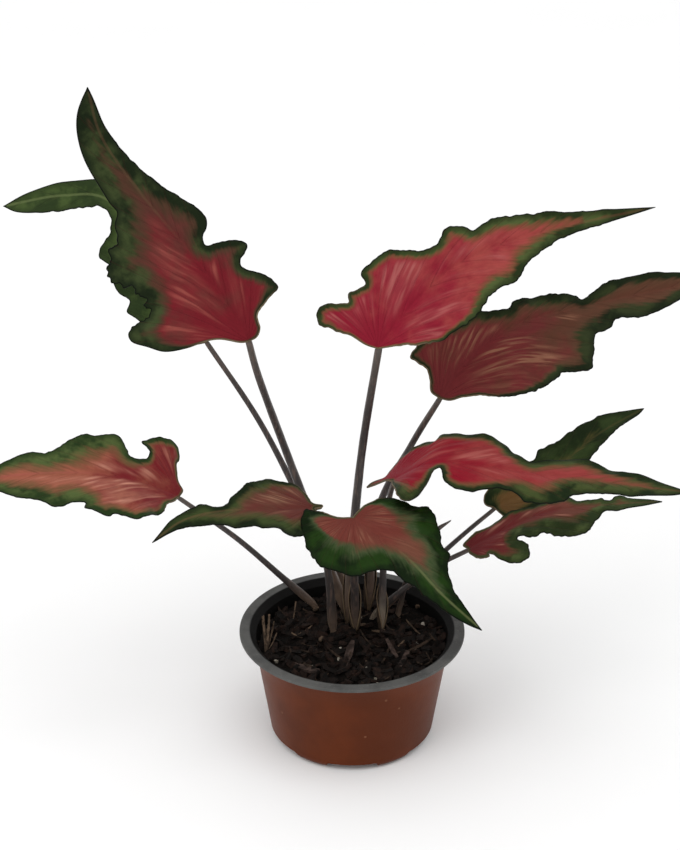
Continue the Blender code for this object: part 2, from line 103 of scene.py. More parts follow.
LEAVES = (
    Leaf(
        name="tall_left",
        midrib=((-51, -6, 230), (-73, 4, 264), (-101, 12, 298), (-120, 14, 327), (-125, 8, 354)),
        face_base=(-0.05, -0.88, 0.47), face_tip=(0.1, -0.9, 0.4),
        left_cup=(8, 4), right_cup=(24, 20), curl=(-10, 0),
        left=((2, 4), (8, 11), (11, 18), (13, 28), (17, 38), (24, 44), (31, 49), (37, 48), (39, 43),
              (38, 36), (44, 35), (48, 31), (56, 34), (69, 38), (75, 34), (77, 28), (80, 22), (85, 20),
              (89, 15), (95, 15), (104, 14), (115, 13), (125, 11), (136, 8), (144, 4)),
        right=((0, 5), (3, 9), (10, 12), (14, 22), (17, 29), (25, 25), (32, 18), (36, 19), (39, 26),
               (43, 25), (47, 18), (50, 9), (54, 10), (58, 16), (64, 18), (75, 15), (92, 9), (109, 6),
               (126, 4), (140, 2)),
        ripple=1.2, root=(-4, 31), route=((-18, 30, 100), (-35, 22, 157), (-47, 5, 205)),
        root_radius=2.6, tip_radius=1.7,
    ),
    Leaf(
        name="behind_left",
        midrib=((-76, 44, 208), (-101, 58, 244), (-125, 72, 275), (-151, 80, 276), (-184, 86, 268)),
        face_base=(-0.2, -0.85, 0.5), face_tip=(-0.1, -0.8, 0.6),
        left_cup=(5, 5), right_cup=(15, 10), curl=(-10, 0),
        left=((2, 5), (8, 14), (19, 20), (28, 23), (36, 26), (40, 22), (47, 24), (53, 23), (59, 20),
              (67, 23), (72, 19), (75, 11), (80, 7), (86, 5), (92, 5), (100, 7), (111, 8), (128, 8),
              (142, 5)),
        right=((1, 6), (7, 15), (16, 17), (25, 18), (35, 24), (46, 23), (58, 24), (70, 20), (80, 17),
               (90, 11), (101, 8), (113, 7), (126, 6), (140, 3)),
        ripple=1.2, root=(2, 40), route=((-20, 43, 98), (-48, 46, 159)),
        root_radius=2.2, tip_radius=1.3,
    ),
    Leaf(
        name="tall_right",
        midrib=((12, -8, 227), (30, -2, 249), (55, 4, 269), (93, 6, 283), (144, -4, 299)),
        face_base=(0.08, -0.82, 0.56), face_tip=(0.1, -0.8, 0.6),
        left_cup=(14, 10), right_cup=(16, 14), curl=(0, 0),
        left=((-2, 6), (-3, 15), (-6, 24), (-8, 31), (-2, 35), (4, 33), (10, 26), (14, 28), (21, 24),
              (23, 29), (30, 29), (38, 27), (43, 22), (48, 16), (55, 14), (60, 18), (65, 17), (71, 12),
              (78, 13), (86, 13), (103, 9), (125, 5), (145, 2)),
        right=((3, 3), (9, 9), (15, 16), (24, 23), (33, 25), (42, 27), (55, 26), (64, 23), (72, 21),
               (82, 21), (89, 15), (100, 9), (110, 6), (124, 4), (141, 2)),
        ripple=1.2, root=(-2, 20), route=((0, 17, 100), (5, 9, 163)),
        root_radius=2.7, tip_radius=1.8,
    ),
    Leaf(
        name="back_right",
        midrib=((45, 22, 186), (59, 32, 202), (83, 42, 218), (124, 52, 226), (185, 58, 237)),
        face_base=(0.1, -0.78, 0.62), face_tip=(0.1, -0.75, 0.65),
        left_cup=(14, 10), right_cup=(14, 10), curl=(0, 0),
        left=((0, 6), (5, 10), (8, 13), (9, 18), (9, 25), (15, 26), (23, 22), (34, 18), (44, 16),
              (49, 12), (55, 9), (60, 12), (70, 11), (83, 9), (91, 7), (94, 4), (104, 8), (112, 10),
              (127, 10), (144, 8), (154, 4)),
        right=((2, 5), (7, 10), (16, 21), (30, 32), (45, 37), (61, 37), (70, 34), (84, 36), (88, 33),
               (91, 26), (95, 17), (104, 15), (108, 11), (122, 13), (136, 10), (149, 5)),
        ripple=1.2, root=(9, 32), route=((14, 32, 115), (31, 30, 155)),
        root_radius=2.4, tip_radius=1.5,
    ),
    Leaf(
        name="low_left",
        midrib=((-91, 24, 128), (-112, 14, 143), (-133, 6, 151), (-162, 0, 154), (-196, -4, 152)),
        face_base=(0.0, -0.38, 0.92), face_tip=(0.0, -0.45, 0.9),
        left_cup=(10, 6), right_cup=(14, 8), curl=(0, 0),
        left=((6, 7), (12, 13), (16, 20), (26, 27), (35, 32), (44, 29), (49, 31), (56, 28), (59, 26),
              (59, 22), (65, 21), (73, 24), (82, 19), (97, 12), (107, 6)),
        right=((-2, 5), (2, 10), (3, 17), (1, 25), (6, 30), (15, 30), (23, 27), (25, 24), (21, 20),
               (23, 15), (32, 13), (35, 20), (40, 24), (50, 23), (57, 23), (64, 19), (74, 13), (81, 12),
               (97, 9), (107, 4)),
        ripple=1.0, root=(-19, 32), route=((-36, 30, 73), (-62, 27, 101)),
        root_radius=2.0, tip_radius=1.2,
    ),
    Leaf(
        name="mid_left",
        midrib=((-19, -4, 136), (-44, -16, 142), (-67, -22, 144), (-85, -28, 142), (-100, -38, 135)),
        face_base=(0.0, -0.2, 0.98), face_tip=(0.0, -0.3, 0.95),
        left_cup=(4, 2), right_cup=(10, 6), curl=(-20, -10),
        left=((2, 7), (9, 16), (16, 21), (23, 21), (27, 16), (33, 14), (38, 12), (47, 12), (62, 8),
              (73, 5), (82, 2)),
        right=((-2, 0.4), (-4.5, 0.8), (-5, 2.4), (-3, 3.2), (0, 5), (1, 10), (4, 17), (12, 20), (18, 23),
               (24, 22),
               (36, 17), (44, 10), (48, 5), (53, 3),
               (59, 6), (66, 5), (76, 4), (83, 2)),
        ripple=0.8, root=(-10, 8), route=((-13, 3, 96),),
        root_radius=2.5, tip_radius=1.5,
    ),
    Leaf(
        name="front",
        midrib=((0, -24, 142), (14, -42, 140), (28, -54, 134), (44, -66, 121), (63, -72, 105)),
        face_base=(0.05, -0.25, 0.96), face_tip=(0.35, -0.45, 0.82),
        left_cup=(10, 6), right_cup=(-5, 0), curl=(-5, -25),
        left=((-1, 4), (-2, 11), (2, 19), (9, 25), (17, 28), (24, 31), (31, 30), (39, 26), (46, 20),
              (51, 19), (57, 13), (64, 9), (74, 5), (84, 2)),
        right=((-4, 4), (-12, 8), (-20, 11), (-23, 13), (-18, 20), (-6, 27), (6, 31), (14, 32), (22, 27.5),
               (29, 25), (34, 17), (42, 11), (53, 9), (64, 7), (76, 5), (85, 3)),
        ripple=0.8, root=(2, 11), route=((1, -2, 100),),
        root_radius=2.5, tip_radius=1.6,
    ),
    Leaf(
        name="mid_right",
        midrib=((20, 2, 149), (39, -10, 165), (64, -18, 168), (103, -24, 165), (166, -36, 162)),
        face_base=(-0.1, -0.15, 1.0), face_tip=(0.1, -0.2, 0.97),
        left_cup=(6, 4), right_cup=(0, 2), curl=(-10, -20),
        left=((-8, 3), (-20, 4), (-19, 7), (-12, 10), (-9, 14), (-4, 22), (3, 28), (13, 28), (25, 25), (42, 25), (56, 23),
              (64, 20), (71, 13), (79, 8), (89, 12), (104, 15), (118, 11), (135, 8), (147, 4)),
        right=((4, 6), (10, 13), (19, 24), (27, 24), (30, 17), (32, 10), (35, 5), (40, 15), (46, 18),
               (57, 19), (66, 17), (74, 17), (80, 21), (89, 22), (97, 18), (103, 12), (120, 9), (137, 7),
               (149, 4)),
        ripple=0.8, root=(16, 12), route=((17, 13, 100), (19, 9, 132)),
        root_radius=2.1, tip_radius=1.3,
    ),
    Leaf(
        name="rear_right",
        midrib=((76, 34, 116), (97, 38, 126), (115, 48, 137), (135, 60, 148), (160, 74, 156)),
        face_base=(-0.1, -0.3, 0.95), face_tip=(-0.3, -0.5, 0.8),
        left_cup=(6, 6), right_cup=(4, 6), curl=(0, -10),
        left=((-3, 3), (-3, 7), (2, 12), (11, 17), (24, 17), (34, 13), (42, 16), (47, 14), (52, 12),
              (60, 12), (74, 10), (86, 7), (96, 3)),
        right=((2, 7), (6, 12), (13, 13), (19, 12), (26, 14), (35, 14), (45, 12), (54, 10), (64, 8),
               (76, 5), (87, 3), (97, 2)),
        ripple=0.8, root=(20, 34), route=((37, 35, 74), (60, 34, 99)),
        root_radius=1.7, tip_radius=1.1,
    ),
    Leaf(
        name="low_right",
        midrib=((61, 12, 103), (82, 10, 117), (101, 8, 127), (123, 4, 133), (159, -4, 140)),
        face_base=(0.0, -0.2, 0.98), face_tip=(0.0, -0.2, 0.98),
        left_cup=(4, 4), right_cup=(4, 4), curl=(0, -20),
        left=((-2, 4), (4, 7), (12, 8), (20, 9), (29, 9), (41, 8), (52, 8), (58, 9), (64, 5), (75, 5),
              (80, 3), (85, 6), (92, 4), (101, 2)),
        right=((1, 5), (7, 13), (12, 15), (13, 13), (19, 21), (26, 26), (33, 27), (35, 21), (32, 15),
               (30, 11), (39, 16), (45, 15), (52, 19), (63, 22), (71, 19), (74, 12), (78, 5), (85, 6),
               (92, 4), (101, 2)),
        ripple=0.8, root=(11, 22), route=((24, 19, 70), (44, 15, 90)),
        root_radius=1.9, tip_radius=1.2,
    ),
)

# Young shoot: a rolled leaf that has only just risen
SHOOT_ROOT = (25, 24)
SHOOT_ROUTE = ((32, 21, 88), (43, 16, 110), (52, 14, 119))
SHOOT_ROOT_RADIUS = 1.5
SHOOT_TIP_RADIUS = 0.7


@dataclass(frozen=True)
class BladeDress:
    """The colours of one blade, as 0 to 255 tones, and how wide its green margin is.

    A margin is a list of (part of the way round the edge from the stalk to the tip, width in mm).
    The frill and the jag are the left half's and the right half's, in mm. The ragged weights say how far
    the stripes, the threads and the blots move the margin's inner line.
    """

    heart: Colour
    flush: Colour
    streak: Colour
    brown: Colour
    green: Colour
    deep: Colour
    left_margin: Profile
    right_margin: Profile
    streaks: float = 0.8
    rib: Colour = (140, 95, 80)
    rib_shows: float = 0.15
    frill: tuple[float, float] = (1.6, 1.6)
    jag: tuple[float, float] = (0.7, 0.7)
    frilled: tuple[float, float] = (0.1, 0.8)
    fan_streaks: float = 1.0
    vein_scale: float = 3.4
    glow: float = 0.25
    ragged: tuple[float, float, float] = (0.9, 0.3, 1.1)


DRESS = {
    "tall_left": BladeDress(
        heart=(108, 24, 33), flush=(84, 44, 38), streak=(146, 74, 66), brown=(72, 50, 36),
        green=(56, 66, 36), deep=(22, 32, 14),
        left_margin=((0, 0.6), (0.12, 0.6), (0.16, 1.5), (0.2, 4), (0.26, 6.5), (0.31, 7), (0.37, 5),
                     (0.43, 6), (0.5, 10), (0.6, 10), (0.66, 8), (0.75, 9), (0.88, 10), (1, 10)),
        right_margin=((0, 0.8), (0.1, 1.5), (0.2, 4), (0.28, 2.5), (0.36, 5), (0.43, 3), (0.5, 6),
                      (0.6, 7), (0.75, 7.5), (1, 7)),
        streaks=0.8, rib=(96, 72, 52), rib_shows=0.35, frill=(4.0, 1.2), jag=(3.2, 0.5),
        frilled=(0.35, 0.62)),
    "behind_left": BladeDress(
        heart=(82, 80, 46), flush=(78, 82, 46), streak=(96, 104, 62), brown=(72, 78, 42),
        green=(64, 80, 40), deep=(40, 54, 26),
        left_margin=((0, 3), (0.3, 14), (0.6, 12), (1, 9)),
        right_margin=((0, 3), (0.3, 12), (0.6, 12), (1, 9)),
        streaks=0.4, rib=(96, 108, 66), rib_shows=0.6, frill=(1.5, 4.0), jag=(0.6, 3.0),
        frilled=(0.1, 0.62)),
    "tall_right": BladeDress(
        heart=(130, 24, 42), flush=(150, 64, 60), streak=(162, 86, 84), brown=(112, 70, 48),
        green=(72, 84, 44), deep=(34, 46, 20),
        left_margin=((0, 0.5), (0.1, 1.2), (0.17, 3), (0.25, 2), (0.36, 2.5), (0.5, 2.5), (0.6, 3.5),
                     (0.75, 4), (0.9, 3.5), (1, 3)),
        right_margin=((0, 0.5), (0.15, 1), (0.3, 2), (0.42, 4.5), (0.6, 5.5), (0.75, 5), (1, 3)),
        streaks=0.95, rib=(140, 70, 60), vein_scale=4.2),
    "back_right": BladeDress(
        heart=(104, 38, 40), flush=(86, 52, 38), streak=(142, 98, 76), brown=(84, 56, 40),
        green=(46, 54, 28), deep=(20, 30, 12),
        left_margin=((0, 1), (0.2, 2), (0.4, 4), (0.6, 5), (0.8, 4.5), (1, 3)),
        right_margin=((0, 0.8), (0.2, 1.5), (0.4, 3), (0.52, 5), (0.62, 9), (0.72, 7), (0.85, 5), (1, 4)),
        streaks=0.8, rib=(104, 58, 46), fan_streaks=0.55, vein_scale=5.2, glow=0.08),
    "low_left": BladeDress(
        heart=(114, 32, 36), flush=(146, 82, 64), streak=(194, 134, 114), brown=(108, 78, 52),
        green=(76, 90, 48), deep=(34, 52, 22),
        left_margin=((0, 0.8), (0.15, 2), (0.3, 3), (0.5, 4.5), (0.65, 8), (0.8, 7), (0.9, 4), (1, 3)),
        right_margin=((0, 0.8), (0.12, 1.5), (0.28, 3), (0.36, 1.5), (0.48, 5), (0.6, 10), (0.72, 9),
                      (0.85, 5), (1, 3)),
        streaks=1.0, rib=(156, 82, 74), rib_shows=0.35, fan_streaks=0.35),
    "mid_left": BladeDress(
        heart=(92, 44, 38), flush=(88, 60, 44), streak=(146, 106, 84), brown=(74, 68, 40),
        green=(54, 66, 32), deep=(18, 30, 10),
        left_margin=((0, 1), (0.1, 3), (0.22, 7), (0.45, 6), (0.6, 4.5), (0.8, 5), (1, 6)),
        right_margin=((0, 0.8), (0.2, 2), (0.4, 5), (0.6, 4), (0.8, 5), (1, 6)),
        streaks=1.0, rib=(118, 88, 62), rib_shows=0.25, vein_scale=4.8, glow=0.15,
        ragged=(0.5, 0.3, 1.5)),
    "front": BladeDress(
        heart=(104, 48, 40), flush=(104, 62, 48), streak=(142, 96, 76), brown=(60, 72, 44),
        green=(26, 50, 9), deep=(8, 24, 2),
        left_margin=((0, 0.6), (0.1, 1.2), (0.18, 4), (0.26, 8), (0.45, 10), (0.6, 8), (0.8, 6), (1, 5)),
        right_margin=((0, 0.6), (0.08, 1), (0.15, 5), (0.28, 9), (0.5, 10), (0.65, 8), (0.8, 6), (1, 5)),
        streaks=0.8, rib=(98, 104, 66), rib_shows=0.6, vein_scale=5.2, glow=0.1,
        ragged=(0.35, 0.25, 2.0)),
    "mid_right": BladeDress(
        heart=(128, 18, 34), flush=(138, 54, 52), streak=(164, 88, 82), brown=(102, 70, 46),
        green=(62, 72, 36), deep=(20, 34, 11),
        left_margin=((0, 0.8), (0.15, 1.5), (0.3, 3.5), (0.6, 4), (0.8, 5), (1, 5)),
        right_margin=((0, 1), (0.06, 2.5), (0.16, 6), (0.24, 3), (0.36, 2), (0.5, 4), (0.62, 8), (0.75, 10),
                      (0.85, 6), (1, 5)),
        streaks=0.85, rib=(130, 56, 50), fan_streaks=0.0, jag=(0.25, 0.6)),
    "rear_right": BladeDress(
        heart=(106, 78, 44), flush=(92, 74, 42), streak=(120, 96, 58), brown=(78, 72, 38),
        green=(46, 60, 28), deep=(26, 38, 15),
        left_margin=((0, 4), (0.3, 10), (0.6, 12), (1, 8)),
        right_margin=((0, 1), (0.3, 4), (0.6, 9), (1, 7)),
        streaks=0.4, rib=(84, 74, 44), rib_shows=0.3),
    "low_right": BladeDress(
        heart=(112, 40, 42), flush=(114, 66, 54), streak=(180, 124, 104), brown=(90, 70, 46),
        green=(84, 98, 56), deep=(46, 60, 30),
        left_margin=((0, 0.8), (0.3, 1.5), (0.6, 2.5), (1, 3)),
        right_margin=((0, 0.8), (0.2, 2), (0.32, 7), (0.42, 7), (0.55, 10), (0.7, 12), (0.8, 6), (1, 4)),
        streaks=1.0, rib=(122, 72, 62), vein_scale=4.6, glow=0.15),
}


def linear(tone: Colour) -> tuple[float, float, float, float]:
    """Turn a tone of 0 to 255 into the shader's own linear colour.

    Args:
        tone: Red, green and blue, from 0 to 255.

    Returns:
        The linear colour, with full alpha.
    """
    part = [value / 255 for value in tone]
    return (*[p / 12.92 if p <= 0.04045 else ((p + 0.055) / 1.055) ** 2.4 for p in part], 1.0)


class Paint:
    """Adds shader nodes to one material."""

    def __init__(self, name: str) -> None:
        """Start a material with its principled shader.

        Args:
            name: The material's name.
        """
        self.material = bpy.data.materials.new(name)
        self.material.use_nodes = True
        self.tree = self.material.node_tree
        self.shader = self.tree.nodes["Principled BSDF"]

    def node(self, kind: str, **settings: object) -> bpy.types.Node:
        """Add a node.

        Args:
            kind: The node's type.
            settings: Properties to set on it.

        Returns:
            The node.
        """
        made = self.tree.nodes.new(kind)
        for key, value in settings.items():
            setattr(made, key, value)
        return made

    def feed(self, socket: bpy.types.NodeSocket, value: object) -> None:
        """Link a socket to another one, or set its value.

        Args:
            socket: The input socket.
            value: An output socket, a number or a colour.
        """
        if isinstance(value, bpy.types.NodeSocket):
            self.tree.links.new(value, socket)
        else:
            socket.default_value = value

    def number(self, operation: str, first: object, second: object = 0.0,
               clamp: bool = False) -> bpy.types.NodeSocket:
        """Work out a number from two others.

        Args:
            operation: The math operation.
            first: The first number or socket.
            second: The second number or socket.
            clamp: Whether the result is kept between 0 and 1.

        Returns:
            The result's socket.
        """
        made = self.node("ShaderNodeMath", operation=operation, use_clamp=clamp)
        self.feed(made.inputs[0], first)
        self.feed(made.inputs[1], second)
        return made.outputs[0]

    def fade(self, value: object, start: float, end: float) -> bpy.types.NodeSocket:
        """Rise smoothly from 0 at start to 1 at end, and stay there.

        Args:
            value: The number or socket to read.
            start: Where the result is 0.
            end: Where the result is 1.

        Returns:
            The result's socket.
        """
        made = self.node("ShaderNodeMapRange", interpolation_type="SMOOTHSTEP")
        self.feed(made.inputs["Value"], value)
        low, high = (start, end) if start < end else (end, start)
        made.inputs["From Min"].default_value = low
        made.inputs["From Max"].default_value = high
        made.inputs["To Min"].default_value = 0.0 if start < end else 1.0
        made.inputs["To Max"].default_value = 1.0 if start < end else 0.0
        return made.outputs["Result"]

    def mix(self, part: object, first: object, second: object,
            blend: str = "MIX") -> bpy.types.NodeSocket:
        """Mix two colours.

        Args:
            part: How much of the second shows.
            first: The first colour or socket.
            second: The second colour or socket.
            blend: The way they mix.

        Returns:
            The mixed colour's socket.
        """
        made = self.node("ShaderNodeMix", data_type="RGBA", blend_type=blend)
        self.feed(made.inputs[0], part)
        self.feed(made.inputs[6], first)
        self.feed(made.inputs[7], second)
        return made.outputs[2]

    def field(self, name: str) -> bpy.types.NodeSocket:
        """Return a named attribute of the mesh as a number."""
        return self.node("ShaderNodeAttribute", attribute_name=name).outputs["Fac"]

    def place(self) -> bpy.types.NodeSocket:
        """Return the point's own place on the object, in metres."""
        return self.node("ShaderNodeTexCoord").outputs["Object"]

    def point(self, x: object, y: object, z: object = 0.0) -> bpy.types.NodeSocket:
        """Join three numbers into a point.

        Args:
            x: The first number or socket.
            y: The second number or socket.
            z: The third number or socket.

        Returns:
            The point's socket.
        """
        made = self.node("ShaderNodeCombineXYZ")
        for socket, value in zip(made.inputs, (x, y, z)):
            self.feed(socket, value)
        return made.outputs[0]

    def grain(self, where: object, scale: float, detail: float = 3.0,
              rough: float = 0.55) -> bpy.types.NodeSocket:
        """Return soft noise.

        Args:
            where: The point that it is read at.
            scale: Its scale.
            detail: How many finer layers it has.
            rough: How strong the finer layers are.

        Returns:
            The noise, about 0.3 to 0.7.
        """
        made = self.node("ShaderNodeTexNoise")
        self.feed(made.inputs["Vector"], where)
        made.inputs["Scale"].default_value = scale
        made.inputs["Detail"].default_value = detail
        made.inputs["Roughness"].default_value = rough
        return made.outputs["Fac"]

    def cells(self, where: object, scale: float, feature: str = "F1") -> bpy.types.Node:
        """Return a cell pattern's node.

        Args:
            where: The point that it is read at.
            scale: Its scale.
            feature: Which distance of the pattern is read.

        Returns:
            The node.
        """
        made = self.node("ShaderNodeTexVoronoi", feature=feature)
        self.feed(made.inputs["Vector"], where)
        made.inputs["Scale"].default_value = scale
        return made

    def finish(self, colour: object, rough: object, height: object, depth: float,
               **sockets: float) -> bpy.types.Material:
        """Link the shader and return the material.

        Args:
            colour: The base colour.
            rough: The roughness.
            height: The relief, from 0 to 1.
            depth: The relief's depth in metres.
            sockets: Other sockets of the shader, with a number each.

        Returns:
            The material.
        """
        self.feed(self.shader.inputs["Base Color"], colour)
        self.feed(self.shader.inputs["Roughness"], rough)
        bump = self.node("ShaderNodeBump")
        bump.inputs["Distance"].default_value = depth
        self.feed(bump.inputs["Height"], height)
        self.tree.links.new(bump.outputs["Normal"], self.shader.inputs["Normal"])
        for name, value in sockets.items():
            self.shader.inputs[name.replace("_", " ")].default_value = value
        return self.material


def clear_selection() -> None:
    """Leave edit mode and select nothing."""
    if bpy.context.object is not None and bpy.context.object.mode != "OBJECT":
        bpy.ops.object.mode_set(mode="OBJECT")
    bpy.ops.object.select_all(action="DESELECT")


def make_active(piece: bpy.types.Object) -> None:
    """Select one object alone and make it active."""
    clear_selection()
    piece.select_set(True)
    bpy.context.view_layer.objects.active = piece


def settle(piece: bpy.types.Object, name: str, smooth: float | None = 40.0) -> bpy.types.Object:
    """Name a piece, put its place into its mesh, and shade it.

    Args:
        piece: The object.
        name: Its name.
        smooth: The angle in degrees past which an edge is sharp, or None for all smooth.

    Returns:
        The object.
    """
    make_active(piece)
    bpy.ops.object.transform_apply(location=True, rotation=True, scale=True)
    piece.name = name
    piece.data.name = name
    if smooth is None:
        bpy.ops.object.shade_smooth()
    else:
        bpy.ops.object.shade_smooth_by_angle(angle=math.radians(smooth))
    return piece


def apply_all(piece: bpy.types.Object) -> None:
    """Apply a piece's modifiers in their order."""
    make_active(piece)
    for modifier in list(piece.modifiers):
        bpy.ops.object.modifier_apply(modifier=modifier.name)


def weld(piece: bpy.types.Object, outward: bool = False) -> None:
    """Merge the doubles of a piece's mesh.

    Args:
        piece: The object.
        outward: Whether its faces are turned outwards after that.
    """
    make_active(piece)
    bpy.ops.object.mode_set(mode="EDIT")
    bpy.ops.mesh.select_all(action="SELECT")
    bpy.ops.mesh.remove_doubles(threshold=MERGE)
    if outward:
        bpy.ops.mesh.normals_make_consistent(inside=False)
    bpy.ops.object.mode_set(mode="OBJECT")


def declare(piece: bpy.types.Object, slot: Slot, *nodes: str) -> bpy.types.Object:
    """Let a piece ride on the body, and stand for its nodes.

    Args:
        piece: The object.
        slot: Its material slot; not used.
        nodes: The nodes that it replaces.

    Returns:
        The object.
    """
    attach(piece, BODY)
    if nodes:
        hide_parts(*nodes)
    LOG.info("%s: %d faces", piece.name, len(piece.data.polygons))
    return piece


def smooth_points(points: list, samples: int) -> np.ndarray:
    """Return points along a Catmull-Rom curve.

    Args:
        points: The points that it goes through.
        samples: How many points each span gets.

    Returns:
        The curve's points, one a row.
    """
    given = np.array(points, float)
    ends = np.vstack([2 * given[0] - given[1], given, 2 * given[-1] - given[-2]])
    result = []
    for index in range(len(given) - 1):
        before, start, end, after = ends[index:index + 4]
        for step in range(samples):
            t = step / samples
            result.append(0.5 * (2 * start + (end - before) * t
                                 + (2 * before - 5 * start + 4 * end - after) * t ** 2
                                 + (3 * start - before - 3 * end + after) * t ** 3))
    return np.array([*result, given[-1]])


def lengths(points: np.ndarray) -> np.ndarray:
    """Return the distance of each point along its line."""
    return np.concatenate([[0.0], np.cumsum(np.linalg.norm(np.diff(points, axis=0), axis=1))])


def along_line(points: np.ndarray, places: np.ndarray, wanted: np.ndarray) -> np.ndarray:
    """Read a line of points at other distances.

    Args:
        points: The line's points.
        places: Their distances along it.
        wanted: The distances to read, of any shape.

    Returns:
        The points there, with one more axis.
    """
    return np.stack([np.interp(wanted, places, points[:, axis]) for axis in range(points.shape[1])], -1)


def unit(vectors: np.ndarray) -> np.ndarray:
    """Return vectors of length 1 along the last axis."""
    return vectors / np.maximum(np.linalg.norm(vectors, axis=-1, keepdims=True), 1e-9)


def ease(value: np.ndarray, start: float, end: float) -> np.ndarray:
    """Rise smoothly from 0 at start to 1 at end.

    Args:
        value: The numbers to read.
        start: Where the result is 0.
        end: Where the result is 1.

    Returns:
        The results.
    """
    part = np.clip((value - start) / (end - start), 0.0, 1.0)
    return part * part * (3 - 2 * part)


def waver(places: np.ndarray, length: float, seed: float) -> np.ndarray:
    """Return soft noise along a line.

    Args:
        places: The distances to read.
        length: The noise's own length.
        seed: Which noise it is.

    Returns:
        Numbers of about -0.5 to 0.5.
    """
    return np.array([noise.noise(Vector((place / length, seed, 0.7))) for place in places])


def inside_loop(points: np.ndarray, loop: np.ndarray) -> np.ndarray:
    """Tell which flat points are inside a loop.

    Args:
        points: The flat points.
        loop: The loop's points.

    Returns:
        Whether each is inside.
    """
    ahead = np.roll(loop, -1, axis=0)
    rise = np.where(ahead[:, 1] == loop[:, 1], 1e-9, ahead[:, 1] - loop[:, 1])
    x, y = points[:, :1], points[:, 1:]
    crossed = (loop[:, 1] > y) != (ahead[:, 1] > y)
    meets = loop[:, 0] + (y - loop[:, 1]) * (ahead[:, 0] - loop[:, 0]) / rise
    return (crossed & (x < meets)).sum(1) % 2 == 1


def far_from(points: np.ndarray, loop: np.ndarray, least: float) -> np.ndarray:
    """Tell which flat points are at least so far from all of a loop's points.

    Args:
        points: The flat points.
        loop: The loop's points.
        least: The least distance.

    Returns:
        Whether each is far enough.
    """
    return ((points[:, None] - loop[None]) ** 2).sum(-1).min(1) > least ** 2


def write_fields(piece: bpy.types.Object, fields: dict[str, np.ndarray]) -> None:
    """Write a number field for each name onto a piece's vertices.

    Args:
        piece: The object.
        fields: Each field's name and its value at each vertex.
    """
    for name, values in fields.items():
        layer = piece.data.attributes.new(name, "FLOAT", "POINT")
        layer.data.foreach_set("value", values.astype(np.float32).ravel())


def wrapped_grid(name: str, points: np.ndarray) -> bpy.types.Object:
    """Add a grid and lay its points out in space.

    Args:
        name: The new object's name.
        points: The place of each grid point in mm, as rows and columns.

    Returns:
        The object, whose faces look along rows x columns.
    """
    rows, columns = points.shape[0], points.shape[1]
    clear_selection()
    bpy.ops.mesh.primitive_grid_add(x_subdivisions=rows - 1, y_subdivisions=columns - 1, size=2)
    piece = bpy.context.object
    piece.name = name
    flat = np.empty(len(piece.data.vertices) * 3)
    piece.data.vertices.foreach_get("co", flat)
    flat = flat.reshape(-1, 3)
    row = np.rint((flat[:, 0] + 1) / 2 * (rows - 1)).astype(int)
    column = np.rint((flat[:, 1] + 1) / 2 * (columns - 1)).astype(int)
    piece.data.vertices.foreach_set("co", (points[row, column] * MM).ravel())
    piece.data.update()
    return piece


